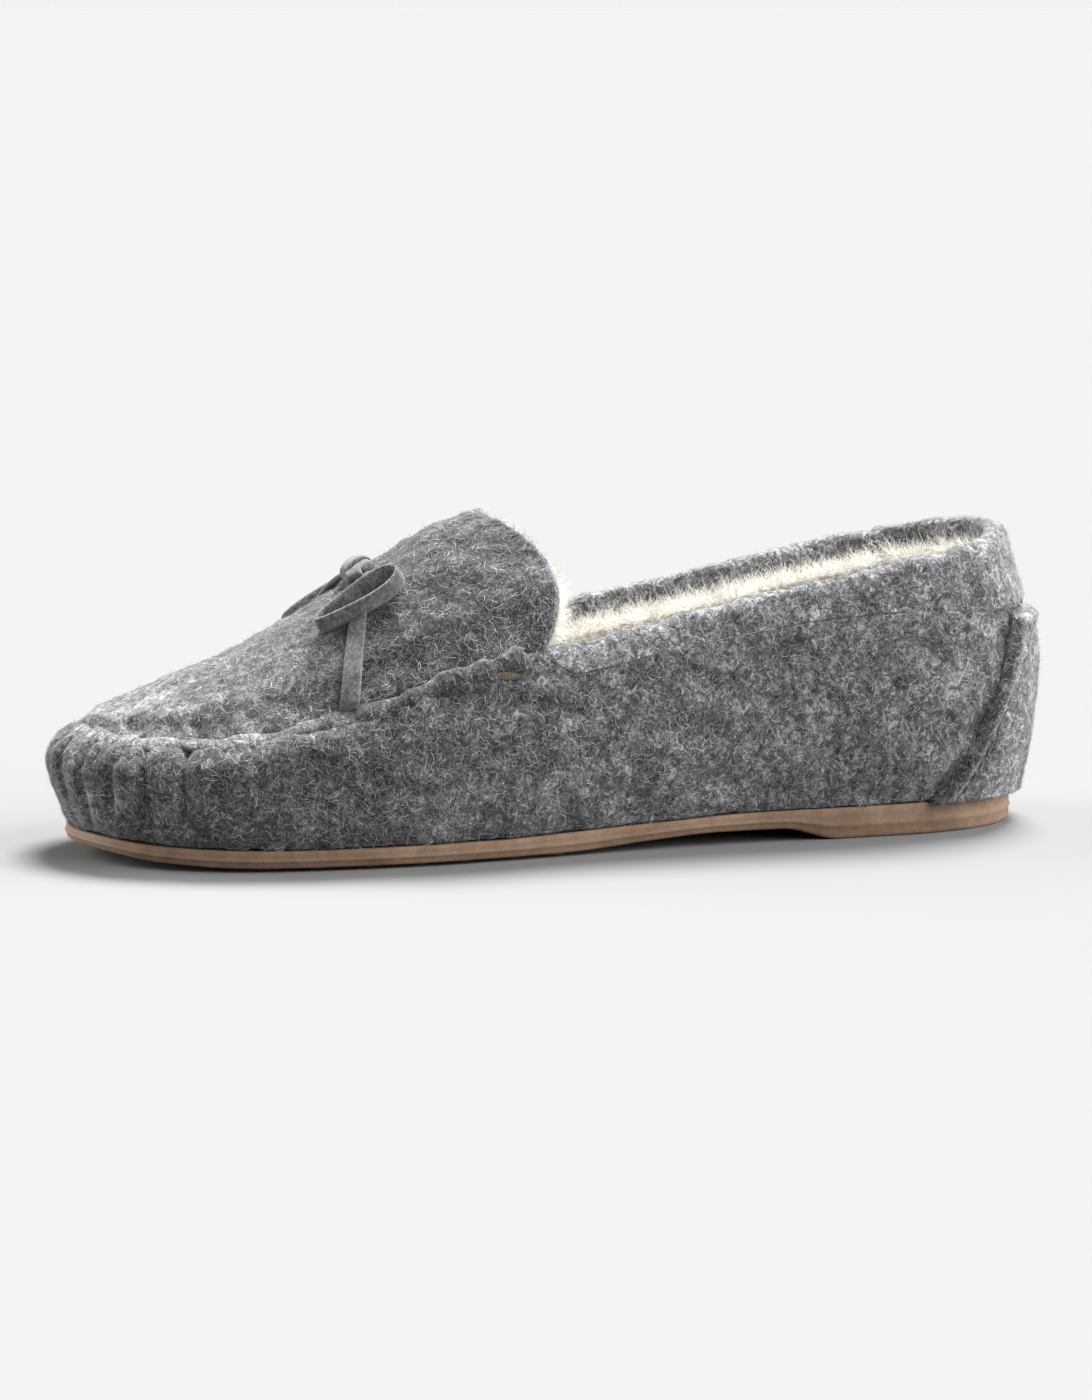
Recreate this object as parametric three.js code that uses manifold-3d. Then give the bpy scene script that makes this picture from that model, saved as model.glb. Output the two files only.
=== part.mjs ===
// A left-foot house slipper of the moccasin kind, in millimetres. +Z is up, the toe points to -Y, the heel
// to +Y and the outer (lateral) side of the foot to +X. It stands on the plane z = 0.
// A felt wall goes round the foot and under the board, a felt plug with its tongue is sewn into it by a
// gathered seam, a collar is folded over the rear edge, and a fur lining and a footbed fill the inside.
import * as THREE from "three";
import { mergeVertices } from "three/addons/utils/BufferGeometryUtils.js";
import Module from "manifold-3d";

const wasm = await Module();
wasm.setup();

// Outsole
const SOLE_LENGTH = 245.4;
const SOLE_WIDTH = 78;
const SOLE_EDGE_DRAFT = 1;
const STUD_HEIGHT = 0.9;
const STUD_DIAMETER = 6.4;
const STUD_PITCH = 12;
const STUD_TAPER = 0.85;
const STUD_MARGIN = 6;
const HEEL_RIM = 8;

// Cloth and board thicknesses, and the clearance between two layers
const FELT = 3;
const LINING = 5;
const PATCH = 2.3;
const COUNTER = 1.2;
const FACING = 2;
const BOARD = 2;
const FOAM = 4;
const SOCK = 5;
const GAP = 0.3;
const CURVED_GAP = 0.45;

// Upper
const LASTING_MARGIN = 11;
const TOE_SHOULDER = 7.4;
const TOE_LEAN = 4.2;
const SIDE_BULGE = 3.6;
const SIDE_LEAN = 0.6;
const HEEL_BULGE = 5;
const HEEL_LEAN = -2;
const ARCH_POWER = 0.85;
const TONGUE_NOTCH = 4;
const TONGUE_EARS = 8;
const COLLAR_FOLD = 1.6;
const FACING_DEPTH = 8;
const PATCH_HEIGHT = 52;
const COUNTER_BOTTOM = 14;
const COUNTER_TOP = 42;
const THREAD = 1;
const TACK = 2;
const TACK_LENGTH = 8;

// Lace
const LACE_WIDTH = 5;
const LACE_THICKNESS = 1.7;
const LOOP_LENGTH = 25;
const LOOP_WIDTH = 8;
const KNOT_SIZE = [12.6, 9, 6];

// Shares of the sole's length, from its heel end (0) to its toe tip (1)
const THROAT = 0.558;
const KNOT_AT = 0.695;
const COUNTER_FRONT = 0.227;
const PATCH_FRONT_FOOT = 0.125;
const PATCH_FRONT_TOP = 0.036;
const FOREFOOT_STUDS = [0.53, 0.87];
const HEEL_STUDS = [0.07, 0.17];
const POCKET_MIDDLE = 0.115;
const POCKET_HALF_LENGTH = 0.1;

// The heel pocket's half width as a share of the sole's width
const POCKET_HALF_WIDTH = 0.383;

// Shares of the plug's half width: where its lining ends, and where the loops and the tails lie
const APRON_LINING_SIDE = 0.84;
const LOOP_SIDE = 0.335;
const TAIL_SIDES = [0.165, 0.985];

// Stations of the plug from the knot towards the toe, for the loops and for the tails' two ends
const LOOP_AHEAD = 0.35;
const TAIL_AHEAD = [0.2, 1.8];

// The top of the toe's wall lining, as a share of the wall's height
const TOE_LINING_TOP = 0.84;

// How finely the upper is divided: steps round the toe and round the rear, both odd, and up the wall
const TOE_STEPS = 37;
const REAR_STEPS = 61;
const WALL_ROWS = 6;
const COLUMNS = TOE_STEPS + REAR_STEPS;
const STATIONS = (TOE_STEPS - 1) / 2;

// The sole's edge, as [share of its length, share of its half width]; lateral is positive
const SOLE_EDGE = [
  [1, -0.1], [0.99, 0.21], [0.96, 0.5], [0.91, 0.74], [0.84, 0.91], [0.7, 1], [0.58, 0.95],
  [0.46, 0.85], [0.33, 0.785], [0.2, 0.765], [0.11, 0.72], [0.05, 0.58], [0.012, 0.32], [0, 0],
  [0.012, -0.32], [0.05, -0.58], [0.11, -0.72], [0.2, -0.755], [0.33, -0.72], [0.46, -0.76],
  [0.58, -0.88], [0.7, -0.98], [0.84, -0.95], [0.91, -0.84], [0.96, -0.66], [0.99, -0.4],
];

// Heights over the ground, as [share of the sole's length, height]
const SOLE_TOP = [[0, 8], [0.3, 7.9], [0.42, 6.9], [0.6, 5.4], [0.8, 5.2], [0.93, 5.9], [1, 7.2]];
const SOLE_BOTTOM = [
  [0, 0], [0.225, 0], [0.285, 3.3], [0.36, 3.4], [0.42, 2.6], [0.52, 1], [0.6, 0.9], [0.84, 0.9], [0.93, 1.9], [1, 3.9],
];
const RIM_TOP = [
  [0, 76], [0.04, 74.4], [0.16, 69.5], [0.3, 63], [0.42, 57.2], [0.5, 53.2], [0.558, 51.3], [0.62, 47.5],
  [0.7, 40.5], [0.8, 34], [0.86, 31], [0.92, 30.2], [1, 30.2],
];
const CREST = [
  [0.558, 83], [0.6, 80.3], [0.64, 76.3], [0.77, 57.3], [0.85, 47], [0.925, 39.8], [0.985, 33.6], [1, 32.5],
];
const COLLAR_DROP = [[0, 19], [0.06, 17.5], [0.13, 13.5], [0.3, 8.5], [0.56, 7]];

// A smooth value along the slipper through such a list, held level past its ends.
function through(list) {
  const points = [...list].sort((a, b) => a[0] - b[0]);
  const last = points.length - 1;
  const chordOf = (i) => (points[i + 1][1] - points[i][1]) / (points[i + 1][0] - points[i][0]);
  const slope = (i) => {
    if (i === 0 || i === last || chordOf(i - 1) * chordOf(i) <= 0) return 0;
    return 2 / (1 / chordOf(i - 1) + 1 / chordOf(i));
  };
  return (share) => {
    const s = THREE.MathUtils.clamp(share, points[0][0], points[last][0]);
    const i = Math.min(points.filter((p) => p[0] <= s).length - 1, last - 1);
    const [start, value] = points[i];
    const width = points[i + 1][0] - start;
    const t = (s - start) / width;
    const chord = chordOf(i);
    const bend = (slope(i) - chord) * (1 - t) - (slope(i + 1) - chord) * t;
    return value + chord * width * t + bend * width * t * (1 - t);
  };
}

const soleTop = through(SOLE_TOP);
const soleBottom = through(SOLE_BOTTOM);
const rimTop = through(RIM_TOP);
const crestTop = through(CREST);
const collarDrop = through(COLLAR_DROP);
const smooth = (from, to, x) => THREE.MathUtils.smoothstep(x, from, to);
const mix = (a, b, t) => a + (b - a) * t;
const vec = (x, y, z) => new THREE.Vector3(x, y, z);

// The sole's heel end in the slipper's own working frame
const HEEL_END = SOLE_LENGTH / 2;
const shareOf = (y) => (HEEL_END - y) / SOLE_LENGTH;
const yOf = (share) => HEEL_END - share * SOLE_LENGTH;

// ---- The sole's edge as a closed curve, and the columns of the upper along it ----

const edge = new THREE.CatmullRomCurve3(
  SOLE_EDGE.map(([share, out]) => vec((out * SOLE_WIDTH) / 2, yOf(share), 0)),
  true,
  "centripetal",
);
edge.arcLengthDivisions = 1200;

// Where the edge passes a share of the length, searched between two places on it.
function edgePlace(share, from, to) {
  const rising = edge.getPointAt(to).y > edge.getPointAt(from).y;
  let [a, b] = [from, to];
  while (b - a > 1e-6) {
    const middle = (a + b) / 2;
    const below = edge.getPointAt(middle).y < yOf(share);
    if (below === rising) a = middle;
    else b = middle;
  }
  return a;
}

// Column 0 is the throat's lateral corner. The columns run back round the heel to the medial corner, then
// round the toe. No column is at the toe's tip or at the heel's middle: both lie halfway between two.
const LATERAL_CORNER = edgePlace(THROAT, 0.05, 0.4);
const MEDIAL_CORNER = edgePlace(THROAT, 0.6, 0.95);

function placeOfColumn(k) {
  const column = ((k % COLUMNS) + COLUMNS) % COLUMNS;
  if (column <= REAR_STEPS) return mix(LATERAL_CORNER, MEDIAL_CORNER, column / REAR_STEPS);
  return mix(MEDIAL_CORNER, 1 + LATERAL_CORNER, (column - REAR_STEPS) / TOE_STEPS) % 1;
}

// The edge's point, its outward direction and its share of the length, at a column.
function rib(k) {
  const place = placeOfColumn(k);
  const point = edge.getPointAt(place);
  const tangent = edge.getTangentAt(place);
  return { point, out: vec(tangent.y, -tangent.x, 0), share: shareOf(point.y) };
}

const TOE_TIP_COLUMN = REAR_STEPS + STATIONS;
const HALFWAY = COLUMNS / 2;

// The two columns that face each other, counted in pairs from the toe's tip.
const pair = (i) => [TOE_TIP_COLUMN - i, TOE_TIP_COLUMN + 1 + i];

// ---- The outer face of the upper ----

const wallFoot = (share) => soleTop(share) + GAP;

// How far the wall's outer face stands out from the sole's edge, from its foot (0) to its rim (1).
function rearOut(share, f) {
  const rimOut = mix(HEEL_LEAN, SIDE_LEAN, smooth(0, 0.12, share));
  const bulge = mix(HEEL_BULGE, SIDE_BULGE, smooth(0, 0.15, share));
  return rimOut * f + bulge * Math.sin(Math.PI * f);
}

// The toe's wall leans out and then rounds over in a quarter circle to the plug's seam.
function toeProfile(f, height) {
  if (f < 0.5) return [TOE_LEAN * 2 * f + 0.5 * Math.sin(2 * Math.PI * f), (height - TOE_SHOULDER) * 2 * f];
  const turn = (f - 0.5) * Math.PI;
  return [
    TOE_LEAN - TOE_SHOULDER * (1 - Math.cos(turn)),
    height - TOE_SHOULDER * (1 - Math.sin(turn)),
  ];
}

// A point of the outer face at column k and share f of the way up.
function shell(k, f) {
  const { point, out, share } = rib(k);
  const height = rimTop(share) - wallFoot(share);
  const toe = smooth(0.6, 0.8, share);
  const [toeOut, toeUp] = toeProfile(f, height);
  const stand = mix(rearOut(share, f), toeOut, toe);
  const up = mix(f * height, toeUp, toe);
  return point.clone().addScaledVector(out, stand).setZ(wallFoot(share) + up);
}

// The outward normal of a face given by a function of two numbers.
function normalOf(face, a, b, stepA, stepB) {
  const along = face(a + stepA, b).sub(face(a - stepA, b));
  const across = face(a, b + stepB).sub(face(a, b - stepB));
  return along.cross(across).normalize();
}

const shellNormal = (k, f) => normalOf(shell, k, Math.min(f, 0.995), 0.2, 0.005);

// How high the felt wall reaches, as a share of the rim's height: up to the collar's seam at the rear.
function wallShare(k) {
  const column = ((k % COLUMNS) + COLUMNS) % COLUMNS;
  if (column >= REAR_STEPS) return 1;
  const { share } = rib(column);
  const fromCorner = Math.min(column, REAR_STEPS - column, 2) / 2;
  const drop = collarDrop(share) * fromCorner;
  return 1 - drop / (rimTop(share) - wallFoot(share));
}

// ---- The outer face of the plug, an arch between the two sides of its seam ----

// How far the tongue's back edge lies behind its corners: notched in the middle, full at its sides.
function tongueBack(t) {
  const side = Math.abs(t);
  const ear = mix(-TONGUE_NOTCH, TONGUE_EARS, smooth(0, 0.75, side));
  const round = side < 0.75 ? 1 : Math.sqrt(Math.max(0, 1 - ((side - 0.75) / 0.25) ** 2));
  return ear * round;
}

// A point of the plug at station i, from 0 at the toe, and t from -1 at its medial edge to 1 at its lateral.
function plug(i, t) {
  const [medial, lateral] = pair(i);
  const [a, b] = [shell(medial, 1), shell(lateral, 1)];
  const base = a.clone().lerp(b, (t + 1) / 2);
  const centre = a.clone().lerp(b, 0.5);
  const rise = (crestTop(shareOf(centre.y)) - centre.z) * Math.min(1, i / 1.5);
  base.z += rise * Math.max(0, 1 - t * t) ** ARCH_POWER;
  base.y += tongueBack(t) * smooth(STATIONS - 5, STATIONS, i);
  return base;
}

const plugNormal = (i, t) => {
  const [a, b] = [THREE.MathUtils.clamp(i, 0.3, STATIONS - 0.1), THREE.MathUtils.clamp(t, -0.97, 0.97)];
  return normalOf(plug, a, b, 0.1, 0.02).negate();
};

// The direction that halves the seam's angle, long enough to keep each layer's thickness.
function mitre(wallNormal, otherNormal) {
  const middle = wallNormal.clone().add(otherNormal).normalize();
  return middle.multiplyScalar(1 / Math.max(0.75, middle.dot(wallNormal)));
}

function seamMitre(i, side) {
  const column = pair(i)[side > 0 ? 1 : 0];
  return mitre(shellNormal(column, 1), plugNormal(i, side * 0.95));
}

// A point of the wall set in from its outer face by a depth; outwards if the depth is negative.
function inWall(k, f, depth) {
  const column = ((k % COLUMNS) + COLUMNS) % COLUMNS;
  const normal = shellNormal(k, f);
  if (column >= REAR_STEPS) {
    const lateral = column > TOE_TIP_COLUMN + 0.5;
    const station = lateral ? column - TOE_TIP_COLUMN - 1 : TOE_TIP_COLUMN - column;
    normal.lerp(seamMitre(Math.max(0, station), lateral ? 1 : -1), smooth(0.6, 1, f));
  }
  return shell(k, f).addScaledVector(normal, -depth);
}

// The same on the plug.
function inPlug(i, t, depth) {
  const normal = plugNormal(i, t).lerp(seamMitre(i, Math.sign(t) || 1), smooth(0.75, 1, Math.abs(t)));
  return plug(i, t).addScaledVector(normal, -depth);
}

// ---- Solids from grids, sections and cuts ----

// A closed geometry from vertices and triangles.
function meshOf(vertices, triangles) {
  const geometry = new THREE.BufferGeometry().setFromPoints(vertices);
  geometry.setIndex(triangles.flat());
  return geometry;
}

// A solid between an outer and an inner grid of the same size. A ring closes on itself along the first index.
function between(outer, inner, ring = false) {
  const [n, m] = [outer.length, outer[0].length];
  const vertices = [...outer.flat(), ...inner.flat()];
  const at = (layer, i, j) => layer * n * m + (i % n) * m + j;
  const triangles = [];
  const quad = (a, b, c, d) => triangles.push([a, b, c], [a, c, d]);
  const last = ring ? n : n - 1;
  for (let i = 0; i < last; i++) {
    for (let j = 0; j < m - 1; j++) {
      quad(at(0, i, j), at(0, i + 1, j), at(0, i + 1, j + 1), at(0, i, j + 1));
      quad(at(1, i, j), at(1, i, j + 1), at(1, i + 1, j + 1), at(1, i + 1, j));
    }
    quad(at(0, i, 0), at(1, i, 0), at(1, i + 1, 0), at(0, i + 1, 0));
    quad(at(0, i, m - 1), at(0, i + 1, m - 1), at(1, i + 1, m - 1), at(1, i, m - 1));
  }
  for (let j = 0; !ring && j < m - 1; j++) {
    quad(at(0, 0, j), at(0, 0, j + 1), at(1, 0, j + 1), at(1, 0, j));
    quad(at(0, n - 1, j), at(1, n - 1, j), at(1, n - 1, j + 1), at(0, n - 1, j + 1));
  }
  return meshOf(vertices, triangles);
}

// A layer of a face: place(u, v) gives the face's two numbers, and within(a, b, depth) a point in it.
function layer(stepsU, stepsV, place, within, fromDepth, toDepth, ring = false) {
  const grid = (depth) => {
    const count = ring ? stepsU : stepsU + 1;
    return Array.from({ length: count }, (_, i) =>
      Array.from({ length: stepsV + 1 }, (_unused, j) => {
        const [a, b] = place(i / stepsU, j / stepsV);
        return within(a, b, typeof depth === "function" ? depth(a, b) : depth);
      }),
    );
  };
  return between(grid(fromDepth), grid(toDepth), ring);
}

// A solid swept through sections of equal count, given in order, with flat ends filled from a flat outline.
function swept(sections, outline) {
  const count = outline.length;
  const triangles = [];
  for (let i = 0; i < sections.length - 1; i++) {
    for (let j = 0; j < count; j++) {
      const [a, b] = [i * count + j, i * count + ((j + 1) % count)];
      triangles.push([b, a, b + count], [b + count, a, a + count]);
    }
  }
  const end = (sections.length - 1) * count;
  const forwards = THREE.ShapeUtils.area(outline) > 0;
  for (const corners of THREE.ShapeUtils.triangulateShape(outline, [])) {
    const turned = THREE.ShapeUtils.area(corners.map((corner) => outline[corner])) > 0 === forwards;
    const [a, b, c] = turned ? corners : corners.toReversed();
    triangles.push([a, b, c], [end + c, end + b, end + a]);
  }
  return meshOf(sections.flat(), triangles);
}

function solidOf(geometry) {
  const plain = geometry.index ? geometry.toNonIndexed() : geometry.clone();
  plain.deleteAttribute("normal");
  plain.deleteAttribute("uv");
  const merged = mergeVertices(plain, 1e-4);
  return new wasm.Manifold(
    new wasm.Mesh({
      numProp: 3,
      vertProperties: merged.attributes.position.array,
      triVerts: new Uint32Array(merged.index.array),
    }),
  );
}

function geometryOf(solid) {
  const { vertProperties, triVerts } = solid.getMesh();
  const geometry = new THREE.BufferGeometry();
  geometry.setAttribute("position", new THREE.BufferAttribute(vertProperties, 3));
  geometry.setIndex(new THREE.BufferAttribute(triVerts, 1));
  return geometry;
}

// ---- The flat layers under the foot ----

// A sheet as long as the sole, set in from its edge, between two heights that follow the sole's length.
function sheet(inset, bottomAt, topAt, pairsLeftOut = 0, bottomInset = inset) {
  const across = 2;
  const count = HALFWAY - 2 * pairsLeftOut;
  const grid = (height, setIn) =>
    Array.from({ length: count }, (_, i) => {
      const ends = pair(i + pairsLeftOut).map((k) => {
        const { point, out } = rib(k);
        return point.clone().addScaledVector(out, -setIn);
      });
      return Array.from({ length: across + 1 }, (_unused, j) => {
        const spot = ends[0].clone().lerp(ends[1], j / across);
        return spot.setZ(height(shareOf(spot.y)));
      });
    });
  return between(grid(bottomAt, bottomInset), grid(topAt, inset));
}

const flangeTop = (share) => wallFoot(share) + FELT;
const boardTop = (share) => flangeTop(share) + GAP + BOARD;
const foamTop = (share) => boardTop(share) + GAP + FOAM;
const sockTop = (share) => foamTop(share) + GAP + SOCK;

// The stack's room inside the felt, and inside the lining
const BOARD_INSET = FELT + 3 * GAP;
const FOOTBED_INSET = FELT + LINING + 4 * GAP;

// A stud from the ground up into the sole.
function stud(x, y) {
  const top = soleBottom(shareOf(y)) + 1;
  const radius = STUD_DIAMETER / 2;
  const shape = new THREE.CylinderGeometry(radius, radius * STUD_TAPER, top, 8);
  shape.rotateX(Math.PI / 2);
  return solidOf(shape.translate(x, y, top / 2));
}

// The places of studs between two shares of the length, in staggered rows, kept in from the edge.
function studPlaces(fromShare, toShare, margin) {
  const places = [];
  const rows = Math.floor(((toShare - fromShare) * SOLE_LENGTH) / STUD_PITCH);
  for (let row = 0; row <= rows; row++) {
    const y = yOf(fromShare) - row * STUD_PITCH;
    const lateral = edge.getPointAt(edgePlace(shareOf(y), 0.01, 0.49)).x - margin;
    const medial = edge.getPointAt(edgePlace(shareOf(y), 0.51, 0.99)).x + margin;
    const gaps = Math.max(1, Math.floor((lateral - medial) / STUD_PITCH) - (row % 2));
    for (let i = 0; i <= gaps; i++) places.push([mix(medial, lateral, i / gaps), y]);
  }
  return places;
}

function outsole() {
  let solid = solidOf(sheet(0, soleBottom, soleTop, 0, SOLE_EDGE_DRAFT));
  const heelPocket = new THREE.Shape(
    Array.from({ length: 24 }, (_, i) => {
      const turn = (i / 24) * 2 * Math.PI;
      const halfWidth = SOLE_WIDTH * POCKET_HALF_WIDTH - HEEL_RIM;
      const halfLength = SOLE_LENGTH * POCKET_HALF_LENGTH - HEEL_RIM / 2;
      const y = yOf(POCKET_MIDDLE) + halfLength * Math.sin(turn);
      return new THREE.Vector2(halfWidth * Math.cos(turn), y);
    }),
  );
  const pocket = new THREE.ExtrudeGeometry(heelPocket, { depth: 1 + STUD_HEIGHT, bevelEnabled: false });
  solid = solid.subtract(solidOf(pocket.translate(0, 0, -1)));
  const places = [
    ...studPlaces(...FOREFOOT_STUDS, STUD_MARGIN),
    ...studPlaces(...HEEL_STUDS, HEEL_RIM + STUD_DIAMETER),
  ];
  for (const [x, y] of places) solid = solid.add(stud(x, y));
  return geometryOf(solid);
}

// Fills the space between the turned-under edges of the wall.
const bottomFiller = () =>
  sheet(LASTING_MARGIN + GAP, (share) => soleTop(share) + GAP, flangeTop, 1);
const insoleBoard = () => sheet(BOARD_INSET, (share) => flangeTop(share) + GAP, boardTop);
const footbedFoam = () => sheet(FOOTBED_INSET, (share) => boardTop(share) + GAP, foamTop);
const footbedSock = () => sheet(FOOTBED_INSET, (share) => foamTop(share) + GAP, sockTop);

// ---- The felt upper ----

// The wall with its lasting margin, which turns in under the board.
function moccasinWall() {
  const margins = [LASTING_MARGIN, LASTING_MARGIN / 2];
  const outer = [];
  const inner = [];
  for (let k = 0; k < COLUMNS; k++) {
    const { point, out } = rib(k);
    const turned = (setIn, height) => {
      const spot = point.clone().addScaledVector(out, -setIn);
      return spot.setZ(height(shareOf(spot.y)));
    };
    const top = wallShare(k);
    const rows = Array.from({ length: WALL_ROWS + 1 }, (_, j) => (top * j) / WALL_ROWS);
    outer.push([...margins.map((m) => turned(m, wallFoot)), ...rows.map((f) => shell(k, f))]);
    inner.push([
      ...margins.map((m) => turned(m, flangeTop)),
      turned(FELT, flangeTop),
      ...rows.slice(1).map((f) => inWall(k, f, FELT)),
    ]);
  }
  return between(outer, inner, true);
}

// The plug's edges stop a clearance short of the seam.
const plugSide = (u) => mix(-1, 1, u) * (1 - GAP / 20);
const apronPlug = () =>
  layer(14, STATIONS, (u, v) => [STATIONS * v, plugSide(u)], inPlug, 0, FELT);

// The collar: a felt band that carries the wall on from its seam, folds over the rim and faces it inside.
function collarBand() {
  const first = 1;
  const last = REAR_STEPS - 1;
  const section = (k) => {
    const { out, share } = rib(k);
    const height = rimTop(share) - wallFoot(share);
    const seam = (1 - wallShare(k)) * height - GAP;
    const inner = FELT + GAP + FACING;
    return {
      out,
      height,
      profile: [
        [0, seam], [0, COLLAR_FOLD], [COLLAR_FOLD / 2, COLLAR_FOLD / 4], [inner / 2, 0],
        [inner - COLLAR_FOLD / 2, COLLAR_FOLD / 4], [inner, COLLAR_FOLD], [inner, FACING_DEPTH],
        [FELT + GAP, FACING_DEPTH], [FELT + GAP, seam],
      ],
    };
  };
  const sections = [];
  for (let k = first; k <= last; k++) {
    const { out, height, profile } = section(k);
    sections.push(profile.map(([depth, below]) => shell(k, 1 - below / height).addScaledVector(out, -depth)));
  }
  const flat = section(REAR_STEPS / 2).profile.map(([x, y]) => new THREE.Vector2(x, -y));
  return swept(sections, flat);
}

// The lateral column whose share of the length is the given one.
function columnAtShare(share) {
  const place = edgePlace(share, 0.05, 0.49);
  return ((place - LATERAL_CORNER) / (MEDIAL_CORNER - LATERAL_CORNER)) * REAR_STEPS;
}

// The heel patch's front edge slants back as it rises: its column at a share of the patch's height.
function patchColumn(up) {
  return columnAtShare(mix(PATCH_FRONT_FOOT, PATCH_FRONT_TOP, up ** 0.65));
}

// The share up the wall of a height over the ground, at a column.
function shareUp(k, z) {
  const { share } = rib(k);
  return (z - wallFoot(share)) / (rimTop(share) - wallFoot(share));
}

function patchPlace(u, v) {
  const front = patchColumn(v);
  const k = mix(front, REAR_STEPS - front, u);
  return [k, shareUp(k, mix(wallFoot(0) + GAP, PATCH_HEIGHT, v))];
}

const heelPatch = () => layer(22, 6, patchPlace, inWall, -CURVED_GAP - PATCH, -CURVED_GAP);

function counterPlace(u, v) {
  const front = columnAtShare(COUNTER_FRONT);
  const k = mix(front, REAR_STEPS - front, u);
  return [k, shareUp(k, mix(COUNTER_BOTTOM, COUNTER_TOP, v))];
}

const COUNTER_DEPTH = FELT + CURVED_GAP;
const heelCounter = () => layer(28, 4, counterPlace, inWall, COUNTER_DEPTH, COUNTER_DEPTH + COUNTER);

// ---- The fur lining ----

// Behind the wall the lining makes room for the counter.
function liningDepth(k, f) {
  const { share } = rib(k);
  const z = mix(wallFoot(share), rimTop(share), f);
  const behind = 1 - smooth(0.26, 0.3, share);
  const below = 1 - smooth(COUNTER_TOP + 3, COUNTER_TOP + 12, z);
  return FELT + 2 * GAP + behind * below * (COUNTER + 2 * CURVED_GAP - 2 * GAP);
}

const liningFoot = (k) => shareUp(k, boardTop(rib(k).share) + GAP);

function liningLayer(fromColumn, toColumn, top) {
  const steps = toColumn - fromColumn;
  const place = (u, v) => {
    const k = mix(fromColumn + 0.02, toColumn - 0.02, u);
    return [k, mix(liningFoot(k), top(k), v)];
  };
  return layer(steps, WALL_ROWS, place, inWall, liningDepth, (k, f) => liningDepth(k, f) + LINING);
}

// At the rear the lining ends under the collar's facing, and at the toe under the plug's lining.
const rearLiningTop = (k) => {
  const { share } = rib(k);
  return 1 - (FACING_DEPTH + 3 * GAP) / (rimTop(share) - wallFoot(share));
};
const toeWallLining = () => liningLayer(REAR_STEPS, COLUMNS, () => TOE_LINING_TOP);
const quarterLiningLateral = () => liningLayer(0, (REAR_STEPS - 1) / 2, rearLiningTop);
const quarterLiningMedial = () => liningLayer((REAR_STEPS + 1) / 2, REAR_STEPS, rearLiningTop);

const apronLining = () =>
  layer(
    10,
    STATIONS - 1,
    (u, v) => [mix(1.2, STATIONS - 0.15, v), mix(-1, 1, u) * APRON_LINING_SIDE],
    inPlug,
    FELT + GAP,
    FELT + GAP + LINING,
  );

// ---- Threads ----

function thread(points) {
  const sides = 6;
  const path = new THREE.CatmullRomCurve3(points);
  const round = new THREE.Shape(
    Array.from({ length: sides }, (_, i) => {
      const turn = (i / sides) * 2 * Math.PI;
      return new THREE.Vector2((THREAD / 2) * Math.cos(turn), (THREAD / 2) * Math.sin(turn));
    }),
  );
  const steps = Math.round(points.length * 1.2);
  return new THREE.ExtrudeGeometry(round, { steps, extrudePath: path, bevelEnabled: false });
}

const ON_TOP = -(GAP + THREAD / 2);
const SEAM_ROW = 0.97;

function apronSeamThread() {
  const points = [];
  for (let k = REAR_STEPS + 1; k < COLUMNS; k++) points.push(inWall(k, SEAM_ROW, ON_TOP));
  return thread(points);
}

function collarThread() {
  const points = [];
  for (let k = 3; k <= REAR_STEPS - 2; k += 1.5) points.push(inWall(k, wallShare(k), ON_TOP));
  return thread(points);
}

// One row of stitching up the patch's front edge, along its top and down the other side.
function heelPatchThread() {
  const points = [];
  const rows = 8;
  const across = 16;
  const inset = 0.05;
  const on = (u, v) => {
    const [k, f] = patchPlace(u, v);
    points.push(inWall(k, f, ON_TOP - CURVED_GAP - PATCH));
  };
  for (let i = 1; i < rows; i++) on(inset, i / rows);
  for (let i = 2; i <= across - 2; i++) on(i / across, 1 - inset);
  for (let i = rows - 1; i > 0; i--) on(1 - inset, i / rows);
  return thread(points);
}

// The bar of thread that ends the plug's seam at a throat corner.
function throatTack(side) {
  const column = side > 0 ? COLUMNS - 1 : REAR_STEPS + 1;
  const shape = new THREE.CapsuleGeometry(TACK / 2, TACK_LENGTH - TACK, 3, 8);
  const below = (THREAD + TACK) / 2 + 3 * GAP;
  const seam = shell(column, SEAM_ROW).z;
  const up = shareUp(column, seam - below);
  const centre = inWall(column, up, -(TACK / 2 + GAP));
  return shape.translate(centre.x, centre.y, centre.z);
}

// ---- The lace bow ----

// The station of the plug whose middle lies at a share of the sole's length.
function stationAt(share) {
  let [a, b] = [0, STATIONS];
  while (b - a > 1e-3) {
    const middle = (a + b) / 2;
    if (plug(middle, 0).y < yOf(share)) a = middle;
    else b = middle;
  }
  return a;
}

const KNOT_STATION = stationAt(KNOT_AT);

// Directions on the plug: up from it, across it and down its slope towards the toe.
function axesOn(i, t) {
  const up = plugNormal(i, t);
  const toe = plug(i - 0.3, t).sub(plug(i + 0.3, t)).normalize();
  return { up, toe, across: toe.clone().cross(up).negate() };
}

function laceKnot() {
  const { up, toe, across } = axesOn(KNOT_STATION, 0);
  const shape = new THREE.SphereGeometry(0.5, 14, 10).scale(...KNOT_SIZE);
  shape.applyMatrix4(new THREE.Matrix4().makeBasis(across, toe.clone().negate(), up));
  const centre = inPlug(KNOT_STATION, 0, -(KNOT_SIZE[2] / 2 + GAP));
  return shape.translate(centre.x, centre.y, centre.z);
}

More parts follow.
